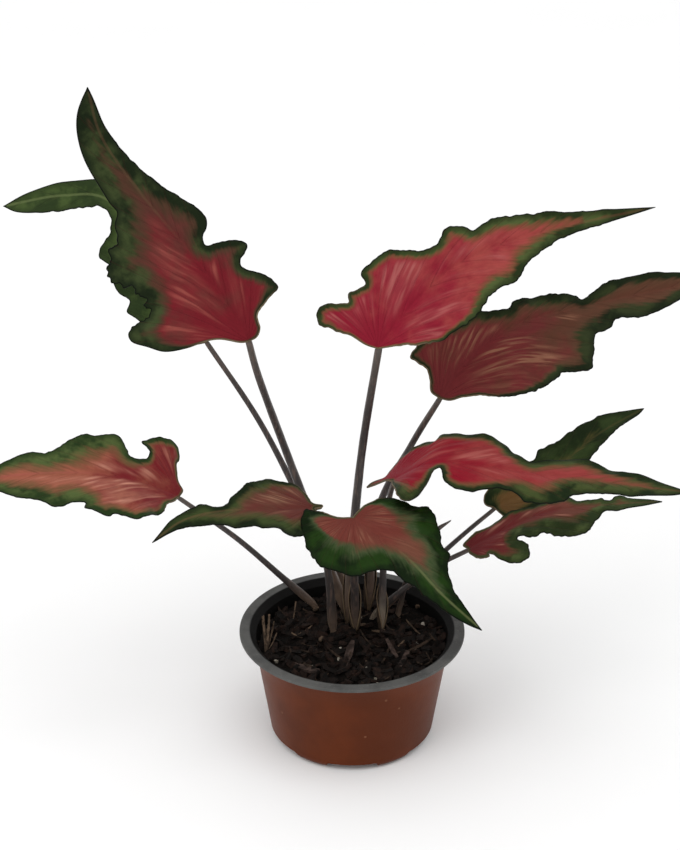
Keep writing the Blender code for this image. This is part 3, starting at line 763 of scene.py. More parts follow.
@dataclass
class Blade:
    """A leaf's blade: a thin waved sheet inside its own outline, with ribs under its veins.

    The sheet is first laid flat. A flat point is (along the midrib, across it) in mm, and the left half
    has the positive side. A blade's ragged outline is no primitive's, so the sheet is triangulated in it.
    """

    leaf: Leaf
    dress: BladeDress
    spacing: float = 0.85
    edge_step: float = 0.5
    thickness: float = 0.42
    rib_thickness: float = 2.2
    quilt: float = 0.55
    groove: float = 0.35
    vein_gap: float = 20.0
    fan: float = 100.0
    blend: float = 1.6
    midrib: np.ndarray = field(init=False)
    places: np.ndarray = field(init=False)

    def __post_init__(self) -> None:
        """Work out the midrib's curve."""
        self.midrib = smooth_points(list(self.leaf.midrib), 24)
        self.places = lengths(self.midrib)

    @property
    def length(self) -> float:
        """Return the midrib's length in mm."""
        return float(self.places[-1])

    @property
    def seed(self) -> float:
        """Return a number of the leaf's own."""
        return 3.7 * (1 + [leaf.name for leaf in LEAVES].index(self.leaf.name))

    def axes(self, along: np.ndarray) -> tuple[np.ndarray, ...]:
        """Return the blade's frame at distances along the midrib.

        Args:
            along: The distances in mm.

        Returns:
            The points, directions, face normals and left directions.
        """
        inside = np.clip(along, 0.0, self.length)
        ahead = along_line(self.midrib, self.places, np.minimum(inside + FRAME_REACH, self.length))
        back = along_line(self.midrib, self.places, np.maximum(inside - FRAME_REACH, 0.0))
        direction = unit(ahead - back)
        part = (inside / self.length)[..., None]
        base = np.array(Vector(self.leaf.face_base).normalized())
        tip = np.array(Vector(self.leaf.face_tip).normalized())
        face = base * (1 - part) + tip * part
        face = unit(face - direction * np.sum(direction * face, -1, keepdims=True))
        place = along_line(self.midrib, self.places, inside) + direction * (along - inside)[..., None]
        return place, direction, face, np.cross(face, direction)

    def edge(self, side: int) -> tuple[np.ndarray, np.ndarray, np.ndarray]:
        """Trace the edge of one half from the stalk to the tip.

        Args:
            side: 1 for the left half and -1 for the right.

        Returns:
            The flat points, the margin's width at each, and how far each is frilled up or down, in mm.
        """
        leaf, dress, half = self.leaf, self.dress, 0 if side > 0 else 1
        curve = smooth_points([(0.0, 0.0), *(leaf.left if side > 0 else leaf.right), (self.length, 0.0)], 16)
        places = lengths(curve)
        wanted = np.linspace(0.0, places[-1], round(places[-1] / self.edge_step))
        part = wanted / places[-1]
        points = along_line(curve, places, wanted)
        heading = unit(np.gradient(points, axis=0))
        start, end = dress.frilled if dress.jag[half] > 1 else (0.08, 0.85)
        frilled = ease(part, start - 0.06, start + 0.04) * (1 - ease(part, end - 0.05, end + 0.08))
        rough = waver(wanted, 4.2, self.seed + side) + 0.6 * waver(wanted, 2.0, self.seed + 4 * side)
        points += np.stack([-heading[:, 1], heading[:, 0]], -1) * (dress.jag[half] * frilled * rough)[:, None]
        points[1:-1, 1] = np.maximum(points[1:-1, 1], 0.05)
        frill = waver(wanted, 6.5, self.seed - side) + 0.5 * waver(wanted, 3.0, self.seed + 5 * side)
        frill = frill * dress.frill[half] * (0.15 + 0.85 * frilled)
        width = np.interp(part, *zip(*(dress.left_margin if side > 0 else dress.right_margin)))
        return points * (1, side), width, frill

    def rim(self) -> tuple[np.ndarray, np.ndarray, np.ndarray, int]:
        """Join the two halves' edges into one loop from the stalk, up the right half to the tip and back.

        Returns:
            The flat points, the margin's width, the frill, and the tip's place in the loop.
        """
        right, left = self.edge(-1), self.edge(1)
        joined = [np.concatenate([first, second[-2:0:-1]]) for first, second in zip(right, left)]
        return *joined, len(right[0]) - 1

    def sheet(self, loop: np.ndarray, tip: int) -> tuple[np.ndarray, list]:
        """Fill the loop with even triangles that also follow the midrib.

        Args:
            loop: The edge's flat points.
            tip: The tip's place in the loop.

        Returns:
            The flat points and the triangles.
        """
        low, high = loop.min(0), loop.max(0)
        rows = np.arange(low[1], high[1], self.spacing * math.sqrt(0.75))
        field_points = np.array([(x + (row % 2) * self.spacing / 2, y) for row, y in enumerate(rows)
                                 for x in np.arange(low[0], high[0], self.spacing)])
        keep = inside_loop(field_points, loop) & (np.abs(field_points[:, 1]) > self.spacing / 2)
        field_points = field_points[keep]
        keep = far_from(field_points, loop, self.spacing * 0.45)
        steps = np.arange(self.spacing, self.length - self.spacing / 2, self.spacing)
        spine = np.stack([steps, 0 * steps], -1)
        flat = np.vstack([loop, spine, field_points[keep]])
        chain = [0, *range(len(loop), len(loop) + len(spine)), tip]
        made = geometry.delaunay_2d_cdt([Vector(point) for point in flat], list(zip(chain, chain[1:])),
                                        [list(range(len(loop)))], 1, 1e-5)
        return np.array([tuple(point) for point in made[0]]), made[2]

    def survey(self, flat: np.ndarray, loop: np.ndarray, width: np.ndarray, frill: np.ndarray) -> dict:
        """Measure the flat points against the edge and the veins.

        Args:
            flat: The flat points.
            loop: The edge's flat points.
            width: The margin's width at each edge point.
            frill: How far each edge point is frilled.

        Returns:
            The number fields, and the frill at each point.
        """
        away = np.sqrt(((flat[:, None] - loop[None]) ** 2).sum(-1))
        gap = away.min(1)
        share = np.exp((gap[:, None] - away) / self.blend)
        share /= share.sum(1, keepdims=True)
        along, out = flat[:, 0], np.abs(flat[:, 1])
        reach = np.hypot(along, out)
        ahead = along - VEIN_RAKE * out
        turn = np.arcsin(np.clip(-ahead / (math.hypot(1, VEIN_RAKE) * np.maximum(reach, 1e-6)), 0, 1))
        turn = np.where((along < 0) & (ahead < 0), np.arctan2(out, along) - math.atan(1 / VEIN_RAKE), turn)
        vein = np.where(ahead > 0, ahead, -self.fan * turn) / self.vein_gap
        deep = np.exp(-((vein - np.rint(vein)) * 7) ** 2) * ease(gap, 2, 9) * ease(reach, 2, 10)
        thick = np.exp(-(out / 1.0) ** 2) * (1 - 0.85 * np.clip(along / self.length, 0, 1)) + 0.22 * deep
        return {"vein": vein, "out": out, "across": flat[:, 1], "edge": gap, "reach": reach / self.length,
                "run": np.hypot(along - np.maximum(ahead, 0), out), "margin": gap / (share @ width),
                "thick": np.clip(thick, 0, 1), "frill": share @ frill}

    def lift_up(self, flat: np.ndarray, fields: dict) -> np.ndarray:
        """Cup, curl, ripple and frill the flat points.

        Args:
            flat: The flat points.
            fields: Their number fields.

        Returns:
            The points in space, in mm.
        """
        leaf = self.leaf
        along, out, gap, reach = flat[:, 0], fields["out"], fields["edge"], fields["reach"] * self.length
        left_half = flat[:, 1] >= 0
        place, _, face, left = self.axes(along)
        part = out / (out + gap + 1e-6)
        t = np.clip(along / self.length, 0.0, 1.0)
        low = np.where(left_half, leaf.left_cup[0], leaf.right_cup[0])
        high = np.where(left_half, leaf.left_cup[1], leaf.right_cup[1])
        curl = np.where(left_half, leaf.curl[0], leaf.curl[1])
        rise = np.radians(low + (high - low) * t + curl * out / (2 * CURL_WIDTH))
        wave = np.sin(math.tau * along / RIPPLE_LENGTH + np.where(left_half, 1, -1)) * part ** 2
        between = (1 - np.cos(math.tau * fields["vein"])) / 2
        lift = out * np.sin(rise) + leaf.ripple * wave * np.minimum(1.0, out / RIPPLE_FADE)
        lift += self.quilt * between * ease(out, 1, 8) * ease(gap, 0.5, 8) * ease(reach, 4, 20)
        lift += fields["frill"] * np.exp(-(gap / 4.5) ** 2) * ease(out, 1.5, 8)
        lift += self.thickness / 2 - self.groove * np.exp(-(out / 1.4) ** 2) * (1 - t)
        across = np.where(left_half, 1, -1) * out * np.cos(rise)
        return place + left * across[:, None] + face * lift[:, None]

    def build(self) -> bpy.types.Object:
        """Build the blade as one closed piece.

        Returns:
            The blade.
        """
        loop, width, frill, tip = self.rim()
        flat, triangles = self.sheet(loop, tip)
        fields = self.survey(flat, loop, width, frill)
        name = self.leaf.name + "_blade"
        mesh = bpy.data.meshes.new(name)
        mesh.from_pydata((self.lift_up(flat, fields) * MM).tolist(), [], triangles)
        piece = bpy.data.objects.new(name, mesh)
        bpy.context.scene.collection.objects.link(piece)
        write_fields(piece, {key: fields[key] for key in PAINTED_FIELDS})
        self.thicken(piece, fields["thick"])
        settle(piece, name, None)
        for face in Face:
            piece.data.materials.append(self.material(face))
        return declare(piece, Slot.LEAF, "blade_" + self.leaf.name)

    def thicken(self, piece: bpy.types.Object, thick: np.ndarray) -> None:
        """Give the sheet its thickness, with ribs under its veins.

        Args:
            piece: The sheet.
            thick: How thick it is at each point, from 0 to 1.
        """
        group = piece.vertex_groups.new(name="thick")
        for index, weight in enumerate(thick):
            group.add([index], float(weight), "REPLACE")
        wall = piece.modifiers.new("thickness", "SOLIDIFY")
        wall.thickness = self.rib_thickness * MM
        wall.offset = -1.0
        wall.vertex_group = "thick"
        wall.thickness_vertex_group = self.thickness / self.rib_thickness
        wall.material_offset = Face.UNDER.value
        apply_all(piece)

    def material(self, face: Face) -> bpy.types.Material:
        """Paint one face of the blade.

        Args:
            face: The upper face or the under one.

        Returns:
            The material.
        """
        dress = self.dress
        paint = Paint(f"{self.leaf.name}_{face.name.lower()}")
        vein, across, edge = paint.field("vein"), paint.field("across"), paint.field("edge")
        reach, margin, run = paint.field("reach"), paint.field("margin"), paint.field("run")
        out = paint.number("ABSOLUTE", across)
        half = paint.number("ADD", paint.number("MULTIPLY", paint.number("SIGN", across), 3.0), self.seed)
        place = paint.place()
        blot = paint.grain(place, 70.0, 4.0)
        drift = paint.grain(place, 32.0, 2.0)
        speck = paint.grain(place, 520.0, 3.0)
        bent = paint.number("ADD", vein, paint.number("MULTIPLY", paint.number("SUBTRACT", drift, 0.5), 0.5))
        fan = paint.point(bent, paint.number("MULTIPLY", run, 0.012), half)
        stripe = paint.grain(fan, dress.vein_scale, 1.5, 0.4)
        wide = paint.grain(fan, 1.2, 1.0, 0.5)
        thread = paint.grain(paint.point(bent, paint.number("MULTIPLY", run, 0.03), half), 7.5, 2.0, 0.5)
        crease = paint.number("ABSOLUTE", paint.number("SUBTRACT", paint.number("FRACT", paint.number(
            "ADD", vein, 0.5)), 0.5))
        red = paint.mix(paint.fade(paint.number("ADD", reach, blot), 0.62, 1.1),
                        linear(dress.heart), linear(dress.flush))
        shine = paint.number("ADD", paint.number("MULTIPLY", paint.fade(stripe, 0.44, 0.66), 1.0 - dress.glow),
                             dress.glow)
        ahead = paint.number("MULTIPLY", paint.fade(vein, -0.9, 0.0), 1.0 - dress.fan_streaks)
        for part in (paint.fade(wide, 0.36, 0.62), paint.fade(reach, 0.05, 0.22), paint.fade(margin, 1.2, 3.0),
                     paint.fade(out, 0.8, 5.0), paint.number("ADD", ahead, dress.fan_streaks), dress.streaks):
            shine = paint.number("MULTIPLY", shine, part)
        red = paint.mix(shine, red, linear(dress.streak))
        ragged = margin
        for noise_part, weight in zip((stripe, thread, blot), dress.ragged):
            ragged = paint.number("ADD", ragged, paint.number(
                "MULTIPLY", paint.number("SUBTRACT", noise_part, 0.5), weight))
        body = paint.mix(paint.fade(ragged, 2.1, 1.1), red, linear(dress.brown))
        green = paint.mix(paint.fade(blot, 0.4, 0.62), linear(dress.green), linear(dress.deep))
        green = paint.mix(paint.number("MULTIPLY", paint.fade(edge, 4.0, 0.8), 0.7), green, linear(dress.deep))
        body = paint.mix(paint.fade(ragged, 1.35, 0.7), body, green)
        line = paint.number("MULTIPLY", paint.fade(out, 1.0, 0.25), paint.fade(reach, 0.3, 0.6))
        body = paint.mix(paint.number("MULTIPLY", line, dress.rib_shows), body, linear(dress.rib))
        rim = tuple(value * 0.5 for value in dress.deep)
        pale = paint.mix(paint.fade(reach, 0.12, 0.24), linear((112, 98, 76)), linear(rim))
        body = paint.mix(paint.fade(edge, 0.9, 0.3), body, pale)
        # Darker along the sunken vein creases: painted shade.
        line = paint.number("MULTIPLY", paint.fade(crease, 0.035, 0.0), paint.fade(reach, 0.08, 0.3))
        body = paint.mix(paint.number("MULTIPLY", line, 0.24), body,
                         linear(tuple(value * 0.55 for value in dress.heart)))
        tint = paint.mix(paint.fade(thread, 0.3, 0.7), (0.93, 0.93, 0.93, 1.0), (1.06, 1.06, 1.06, 1.0))
        body = paint.mix(1.0, body, tint, "MULTIPLY")
        if face is Face.UNDER:
            body = paint.mix(0.45, body, linear((84, 78, 58)))
        height = paint.number("ADD", paint.number("MULTIPLY", paint.fade(crease, 0.0, 0.07), 0.5),
                              paint.number("MULTIPLY", thread, 0.35))
        height = paint.number("ADD", height, paint.number("MULTIPLY", speck, 0.2))
        rough = paint.number("ADD", paint.number("MULTIPLY", blot, 0.25), 0.42)
        return paint.finish(body, rough, height, 0.0003, Specular_IOR_Level=0.07)


def swept_tube(name: str, centres: np.ndarray, radii: np.ndarray, sides: int,
               flute: float = 0.0, flutes: int = 5) -> bpy.types.Object:
    """Shape a cylinder into a tube along a line.

    Args:
        name: The tube's name.
        centres: The line's points in mm.
        radii: The tube's radius at each point in mm.
        sides: How many sides it has.
        flute: How deep its long grooves are, as a part of its radius.
        flutes: How many grooves it has.

    Returns:
        The tube.
    """
    clear_selection()
    count = len(centres)
    bpy.ops.mesh.primitive_cylinder_add(vertices=sides, radius=1.0, depth=2.0, end_fill_type="TRIFAN")
    piece = bpy.context.object
    bpy.ops.object.mode_set(mode="EDIT")
    shape = bmesh.from_edit_mesh(piece.data)
    for edge in shape.edges:
        first, second = (vert.co for vert in edge.verts)
        edge.select_set(abs(first.z - second.z) > 1.0)
    bmesh.update_edit_mesh(piece.data)
    bpy.ops.mesh.select_mode(type="EDGE")
    bpy.ops.mesh.subdivide(number_cuts=count - 2)
    bpy.ops.object.mode_set(mode="OBJECT")
    tangents = unit(np.gradient(centres, axis=0))
    normal = unit(np.cross(tangents[0], (0.3, 1.0, 0.1)))
    frames = []
    for tangent in tangents:
        normal = unit(normal - tangent * np.dot(normal, tangent))
        frames.append((normal, np.cross(tangent, normal)))
    flat = np.empty(len(piece.data.vertices) * 3)
    piece.data.vertices.foreach_get("co", flat)
    flat = flat.reshape(-1, 3)
    ring = np.rint((flat[:, 2] + 1) / 2 * (count - 1)).astype(int)
    angle = np.arctan2(flat[:, 1], flat[:, 0])
    width = np.hypot(flat[:, 0], flat[:, 1]) * radii[ring] * (1 + flute * np.cos(flutes * angle))
    first = np.array([pair[0] for pair in frames])[ring]
    second = np.array([pair[1] for pair in frames])[ring]
    shaped = (centres[ring] + first * (width * np.cos(angle))[:, None]
              + second * (width * np.sin(angle))[:, None])
    piece.data.vertices.foreach_set("co", (shaped * MM).ravel())
    write_fields(piece, {"turn": angle / math.tau, "rise": ring / (count - 1)})
    piece.data.update()
    return settle(piece, name, 50.0)


@dataclass(frozen=True)
class StalkFinish:
    """The tones of a stalk, from its foot to its neck."""

    foot: Colour = (122, 102, 86)
    middle: Colour = (52, 46, 44)
    neck: Colour = (74, 66, 60)
    fleck: Colour = (104, 84, 74)

    def material(self, name: str) -> bpy.types.Material:
        """Paint the stalks.

        Args:
            name: The material's name.

        Returns:
            The material.
        """
        paint = Paint(name)
        rise = paint.field("rise")
        place = paint.place()
        long_grain = paint.node("ShaderNodeMapping")
        long_grain.inputs["Scale"].default_value = (900.0, 900.0, 60.0)
        paint.feed(long_grain.inputs["Vector"], place)
        fleck = paint.grain(long_grain.outputs[0], 1.0, 3.0)
        blot = paint.grain(place, 120.0, 3.0)
        colour = paint.mix(paint.fade(rise, 0.02, 0.35), linear(self.foot), linear(self.middle))
        colour = paint.mix(paint.fade(rise, 0.75, 1.0), colour, linear(self.neck))
        colour = paint.mix(paint.number("MULTIPLY", paint.fade(fleck, 0.5, 0.68), 0.55), colour,
                           linear(self.fleck))
        colour = paint.mix(paint.number("MULTIPLY", paint.fade(blot, 0.5, 0.7), 0.4), colour,
                           linear((40, 34, 34)))
        rough = paint.number("ADD", paint.number("MULTIPLY", blot, 0.3), 0.3)
        return paint.finish(colour, rough, fleck, 0.00018, IOR=1.45)


@dataclass
class Stalk:
    """A leaf's stalk, from the soil to the foot of the blade's midrib."""

    leaf: Leaf
    blade: Blade
    skin: bpy.types.Material
    sides: int = 16
    step: float = 3.5
    depth: float = 9.0
    neck: float = 3.0
    flare: float = 0.2

    def line(self) -> np.ndarray:
        """Return the stalk's line, from its foot in the soil to the blade, in mm.

        Returns:
            The line's points.
        """
        leaf = self.leaf
        place, direction, face, _ = (value[0] for value in self.blade.axes(np.array([1.0])))
        mouth = np.array((*leaf.root, SOIL_TOP))
        lean = unit(unit(np.array(leaf.route[0]) - mouth) + np.array((0.0, 0.0, 1.0)))
        end = place - face * 1.1
        points = [mouth + lean * self.neck, *leaf.route, end]
        return np.vstack([mouth - lean * self.depth, smooth_points(points, 10), end + direction * 1.6])

    def radius_at(self, above: np.ndarray) -> np.ndarray:
        """Return the stalk's radius at distances above the soil: slim, with a spindle near its foot.

        Args:
            above: The distances along the stalk, in mm.

        Returns:
            The radii in mm.
        """
        leaf = self.leaf
        part = (above + self.depth) / lengths(self.line())[-1]
        radius = leaf.root_radius + (leaf.tip_radius - leaf.root_radius) * part
        radius = radius * (1 + self.flare * np.exp(-((above - 13.0) / 11.0) ** 2))
        return radius * (1 - 0.4 * np.exp(-(above / 4.5) ** 2))

    def build(self) -> bpy.types.Object:
        """Build the stalk.

        Returns:
            The stalk.
        """
        leaf, line = self.leaf, self.line()
        places = lengths(line)
        wanted = np.linspace(0.0, places[-1], max(8, round(places[-1] / self.step)))
        radii = self.radius_at(wanted - self.depth)
        radii = radii * (1 + 0.05 * waver(wanted, 11.0, self.blade.seed))
        radii[-1] *= 0.55
        piece = swept_tube(leaf.name + "_stalk", along_line(line, places, wanted), radii, self.sides, 0.045)
        piece.data.materials.append(self.skin)
        return declare(piece, Slot.STALK, "stalk_" + leaf.name)


@dataclass
class Shoot:
    """The young shoot, a rolled leaf that has only just risen."""

    skin: bpy.types.Material
    root: tuple[float, float] = SHOOT_ROOT
    route: tuple = SHOOT_ROUTE
    root_radius: float = SHOOT_ROOT_RADIUS
    tip_radius: float = 0.3
    sides: int = 18

    def build(self) -> bpy.types.Object:
        """Build the shoot, whose upper half swells a little where the leaf is rolled.

        Returns:
            The shoot.
        """
        mouth = np.array((*self.root, SOIL_TOP))
        lean = unit(unit(np.array(self.route[0]) - mouth) + np.array((0.0, 0.0, 1.0)))
        line = np.vstack([mouth - lean * 9.0, smooth_points([mouth + lean * 3.0, *self.route], 12)])
        places = lengths(line)
        wanted = np.linspace(0.0, places[-1], 40)
        part = wanted / places[-1]
        radii = self.root_radius * (1 - 0.35 * part) * (1 + 0.45 * np.exp(-((part - 0.72) / 0.14) ** 2))
        radii = np.minimum(radii, self.tip_radius + 9.0 * (1 - part))
        piece = swept_tube("young_rolled_shoot", along_line(line, places, wanted), radii, self.sides, 0.10, 2)
        piece.data.materials.append(self.skin)
        return declare(piece, Slot.STALK, "young_shoot")


def turned_body(name: str, profile: list[tuple[float, float]], sides: int) -> bpy.types.Object:
    """Turn a profile about the Z axis, ring by ring.

    Args:
        name: The body's name.
        profile: The rings' (radius, height) in mm. It starts and ends on the axis.
        sides: How many sides the rings have.

    Returns:
        The closed body.
    """
    clear_selection()
    first = profile[1]
    bpy.ops.mesh.primitive_circle_add(vertices=sides, radius=first[0] * MM, fill_type="TRIFAN",
                                      location=(0.0, 0.0, first[1] * MM))
    piece = bpy.context.object
    bpy.ops.object.transform_apply(location=True, rotation=False, scale=False)
    bpy.ops.object.mode_set(mode="EDIT")
    bpy.ops.mesh.select_mode(type="VERT")
    shape = bmesh.from_edit_mesh(piece.data)
    for vert in shape.verts:
        on_axis = math.hypot(vert.co.x, vert.co.y) < MERGE
        if on_axis:
            vert.co.z = profile[0][1] * MM
        vert.select_set(not on_axis)
    shape.select_flush_mode()
    for edge in shape.edges:
        edge.select_set(all(vert.select for vert in edge.verts) and edge.is_boundary)
    for face in shape.faces:
        face.select_set(False)
    for edge in shape.edges:
        edge.select_set(edge.is_boundary)
    bmesh.update_edit_mesh(piece.data)
    bpy.ops.mesh.select_mode(type="EDGE")
    radius, height = first
    for next_radius, next_height in profile[2:-1]:
        bpy.ops.mesh.extrude_edges_move(TRANSFORM_OT_translate={"value": (0, 0, (next_height - height) * MM)})
        size = next_radius / radius
        bpy.ops.transform.resize(value=(size, size, 1.0), center_override=(0.0, 0.0, next_height * MM))
        radius, height = next_radius, next_height
    bpy.ops.mesh.extrude_edges_move(TRANSFORM_OT_translate={"value": (0, 0, (profile[-1][1] - height) * MM)})
    bpy.ops.mesh.merge(type="CENTER")
    bpy.ops.mesh.select_all(action="SELECT")
    bpy.ops.mesh.remove_doubles(threshold=MERGE)
    bpy.ops.mesh.normals_make_consistent(inside=False)
    bpy.ops.object.mode_set(mode="OBJECT")
    piece.name = name
    return piece


@dataclass(frozen=True)
class PotFinish:
    """The tones of the pot: red brown plastic outside, grey on the lip, near black inside with soil stain and
    painted shade.
    """

    outside: Colour = (92, 39, 9)
    outside_shade: Colour = (82, 34, 7)
    lip: Colour = (88, 88, 86)
    lip_shade: Colour = (72, 72, 71)
    scuff: Colour = (128, 84, 60)
    # Near black inner wall: soil stain and painted shade.
    inside: Colour = (17, 16, 15)

    def outer(self) -> bpy.types.Material:
        """Paint the outer wall.

        Returns:
            The material.
        """
        paint = Paint("pot_red_brown")
        place = paint.place()
        cloud = paint.grain(place, 28.0, 3.0)
        fine = paint.grain(place, 900.0, 3.0)
        drawn = paint.node("ShaderNodeMapping")
        drawn.inputs["Scale"].default_value = (260.0, 260.0, 26.0)
        paint.feed(drawn.inputs["Vector"], place)
        streak = paint.grain(drawn.outputs[0], 1.0, 2.0)
        colour = paint.mix(paint.fade(cloud, 0.38, 0.62), linear(self.outside), linear(self.outside_shade))
        colour = paint.mix(paint.number("MULTIPLY", paint.fade(streak, 0.45, 0.7), 0.25), colour,
                           linear(self.outside_shade))
        spot = paint.cells(place, 95.0).outputs["Distance"]
        rare = paint.number("MULTIPLY", paint.fade(spot, 0.09, 0.04), paint.fade(cloud, 0.5, 0.6))
        colour = paint.mix(paint.number("MULTIPLY", rare, 0.7), colour, linear(self.scuff))
        rough = paint.number("ADD", paint.number("MULTIPLY", cloud, 0.2), 0.34)
        return paint.finish(colour, rough, fine, 0.00006, Specular_IOR_Level=0.12)

    def inner(self) -> bpy.types.Material:
        """Paint the lip grey, and the inside near black with soil stain and painted shade.

        Returns:
            The material.
        """
        paint = Paint("pot_grey")
        place = paint.place()
        cloud = paint.grain(place, 60.0, 4.0)
        fine = paint.grain(place, 700.0, 3.0)
        colour = paint.mix(paint.fade(cloud, 0.4, 0.65), linear(self.lip), linear(self.lip_shade))
        colour = paint.mix(paint.number("MULTIPLY", paint.fade(fine, 0.58, 0.72), 0.3), colour,
                           linear((120, 118, 112)))
        axes = paint.node("ShaderNodeSeparateXYZ")
        paint.feed(axes.inputs[0], place)
        flat = paint.node("ShaderNodeVectorMath", operation="LENGTH")
        paint.feed(flat.inputs[0], paint.point(axes.outputs[0], axes.outputs[1]))
        # Inside the throat the wall turns near black: soil stain and painted shade.
        colour = paint.mix(paint.fade(flat.outputs["Value"], 0.0552, 0.0541), colour, linear(self.inside))
        rough = paint.number("ADD", paint.number("MULTIPLY", cloud, 0.2), 0.42)
        return paint.finish(colour, rough, fine, 0.00008, Specular_IOR_Level=0.12)


@dataclass
class Pot:
    """The shallow pot, with a flat lip, a notched foot ring and drain holes."""

    finish: PotFinish = PotFinish()
    height: float = 62.0
    lip_radius: float = 60.0
    lip_width: float = 5.5
    lip_depth: float = 1.8
    wall: float = 1.2
    top_radius: float = 53.0
    low_radius: float = 44.2
    foot_round: float = 5.0
    foot_radius: float = 38.4
    foot_ring: float = 3.0
    underside: float = 4.5
    pad_radius: float = 9.0
    floor_top: float = 6.0
    sides: int = 144
    notches: int = 6
    notch_width: float = 27.0
    notch_height: float = 4.2
    notch_round: float = 1.5
    drains: int = 4
    drain_radius: float = 3.2
    drain_ring: float = 20.0

    def wall_radius(self, height: float) -> float:
        """Return the outer wall's radius at a height, in mm."""
        slope = (self.top_radius - self.low_radius) / (self.height - self.foot_round)
        return self.low_radius + slope * (height - self.foot_round)

    def profile(self) -> list[tuple[float, float]]:
        """Return the closed profile from the floor's middle round the lip to the underside.

        Returns:
            The rings' (radius, height) in mm.
        """
        throat = self.lip_radius - self.lip_width
        under = self.height - self.lip_depth
        half = self.wall / 2
        rings = [(0.0, self.floor_top), (self.wall_radius(self.floor_top) - self.wall - 2.0, self.floor_top),
                 (self.wall_radius(self.floor_top) - self.wall, self.floor_top + 1.6)]
        for part in (0.25, 0.5, 0.75, 1.0):
            level = self.floor_top + (under - self.lip_depth - self.floor_top) * part
            rings.append((self.wall_radius(level) - self.wall, level))
        rings += [(throat - 0.8 * half, self.height - 1.2 * half), (throat - 0.2 * half, self.height - 0.35 * half),
                  (throat + 0.5, self.height - 0.1), (throat + 1.2, self.height - 0.12),
                  (self.lip_radius - 1.6, self.height - 0.22), (self.lip_radius - 1.0, self.height - 0.02),
                  (self.lip_radius - 0.5, self.height), (self.lip_radius - 0.12, self.height - 0.25),
                  (self.lip_radius, self.height - 0.7), (self.lip_radius, under + 0.35),
                  (self.lip_radius - 0.3, under), (self.wall_radius(under) + self.wall + 0.6, under),
                  (self.wall_radius(under) + self.wall * 0.5, under - 0.5),
                  (self.wall_radius(under - self.lip_depth), under - self.lip_depth)]
        for part in (0.25, 0.5, 0.75):
            level = under - self.lip_depth + (self.foot_round - under + self.lip_depth) * part
            rings.append((self.wall_radius(level), level))
        width = self.low_radius - self.foot_radius
        for step in range(6, -1, -1):
            angle = math.pi / 2 * step / 6
            rings.append((self.foot_radius + width * math.sin(angle), self.foot_round * (1 - math.cos(angle))))
        inner = self.foot_radius - self.foot_ring
        rings += [(inner + 0.3, 0.0), (inner, 0.3), (inner, self.underside),
                  (self.pad_radius + self.underside / 2, self.underside), (self.pad_radius + 0.3, 0.3),
                  (self.pad_radius, 0.0), (0.0, 0.0)]
        return rings

    def cutter(self, radius: float, start: Vector, end: Vector) -> bpy.types.Object:
        """Add a cylinder between two points.

        Args:
            radius: Its radius in mm.
            start: Its one end in mm.
            end: Its other end in mm.

        Returns:
            The cylinder.
        """
        axis = end - start
        clear_selection()
        bpy.ops.mesh.primitive_cylinder_add(vertices=32, radius=radius * MM, depth=axis.length * MM,
                                            location=(start + end) * MM / 2,
                                            rotation=axis.to_track_quat("Z", "Y").to_euler())
        return bpy.context.object

    def notch(self, angle: float) -> bpy.types.Object:
        """Add the block that cuts one notch of the foot.

        Args:
            angle: Where it is round the pot, in radians.

        Returns:
            The block, with rounded edges along its length.
        """
        inner = self.foot_radius - 3 * self.foot_ring
        middle = (self.lip_radius + inner) / 2
        clear_selection()
        bpy.ops.mesh.primitive_cube_add(size=1.0, rotation=(0.0, 0.0, angle),
                                        location=Vector((math.cos(angle), math.sin(angle), 0.0)) * middle * MM)
        block = bpy.context.object
        block.scale = Vector((self.lip_radius - inner, self.notch_width, 2 * self.notch_height)) * MM
        bpy.ops.object.transform_apply(location=False, rotation=False, scale=True)
        rounding = block.modifiers.new("rounding", "BEVEL")
        rounding.width = self.notch_round * MM
        rounding.segments = 4
        apply_all(block)
        return block

    def cut(self, pot: bpy.types.Object) -> None:
        """Cut the notches of the foot and the drain holes.

        Args:
            pot: The pot.
        """
        cutters = [self.notch(math.tau * (index + 0.5) / self.notches) for index in range(self.notches)]
        for index in range(self.drains):
            angle = math.tau * index / self.drains
            place = Vector((math.cos(angle), math.sin(angle), 0.0)) * self.drain_ring
            cutters.append(self.cutter(self.drain_radius, place, place + Vector((0.0, 0.0, 10.0))))
        make_active(pot)
        for cutter in cutters:
            modifier = pot.modifiers.new("cut", "BOOLEAN")
            modifier.operation = "DIFFERENCE"
            modifier.solver = "EXACT"
            modifier.object = cutter
            bpy.ops.object.modifier_apply(modifier=modifier.name)
        for cutter in cutters:
            bpy.data.objects.remove(cutter, do_unlink=True)

    def build(self) -> bpy.types.Object:
        """Build the pot.

        Returns:
            The pot.
        """
        pot = turned_body("turned_pot", self.profile(), self.sides)
        self.cut(pot)
        settle(pot, "round_pot", 35.0)
        pot.data.materials.clear()
        pot.data.materials.append(self.finish.outer())
        pot.data.materials.append(self.finish.inner())
        for face in pot.data.polygons:
            radius, height = math.hypot(face.center.x, face.center.y) / MM, face.center.z / MM
            in_foot = height < self.underside and radius > self.foot_radius - self.foot_ring - 0.1
            outside = in_foot or radius > self.wall_radius(height) - 0.4 * self.wall
            face.material_index = 0 if outside and height < self.height - self.lip_depth - 0.9 else 1
        return declare(pot, Slot.POT, "pot")


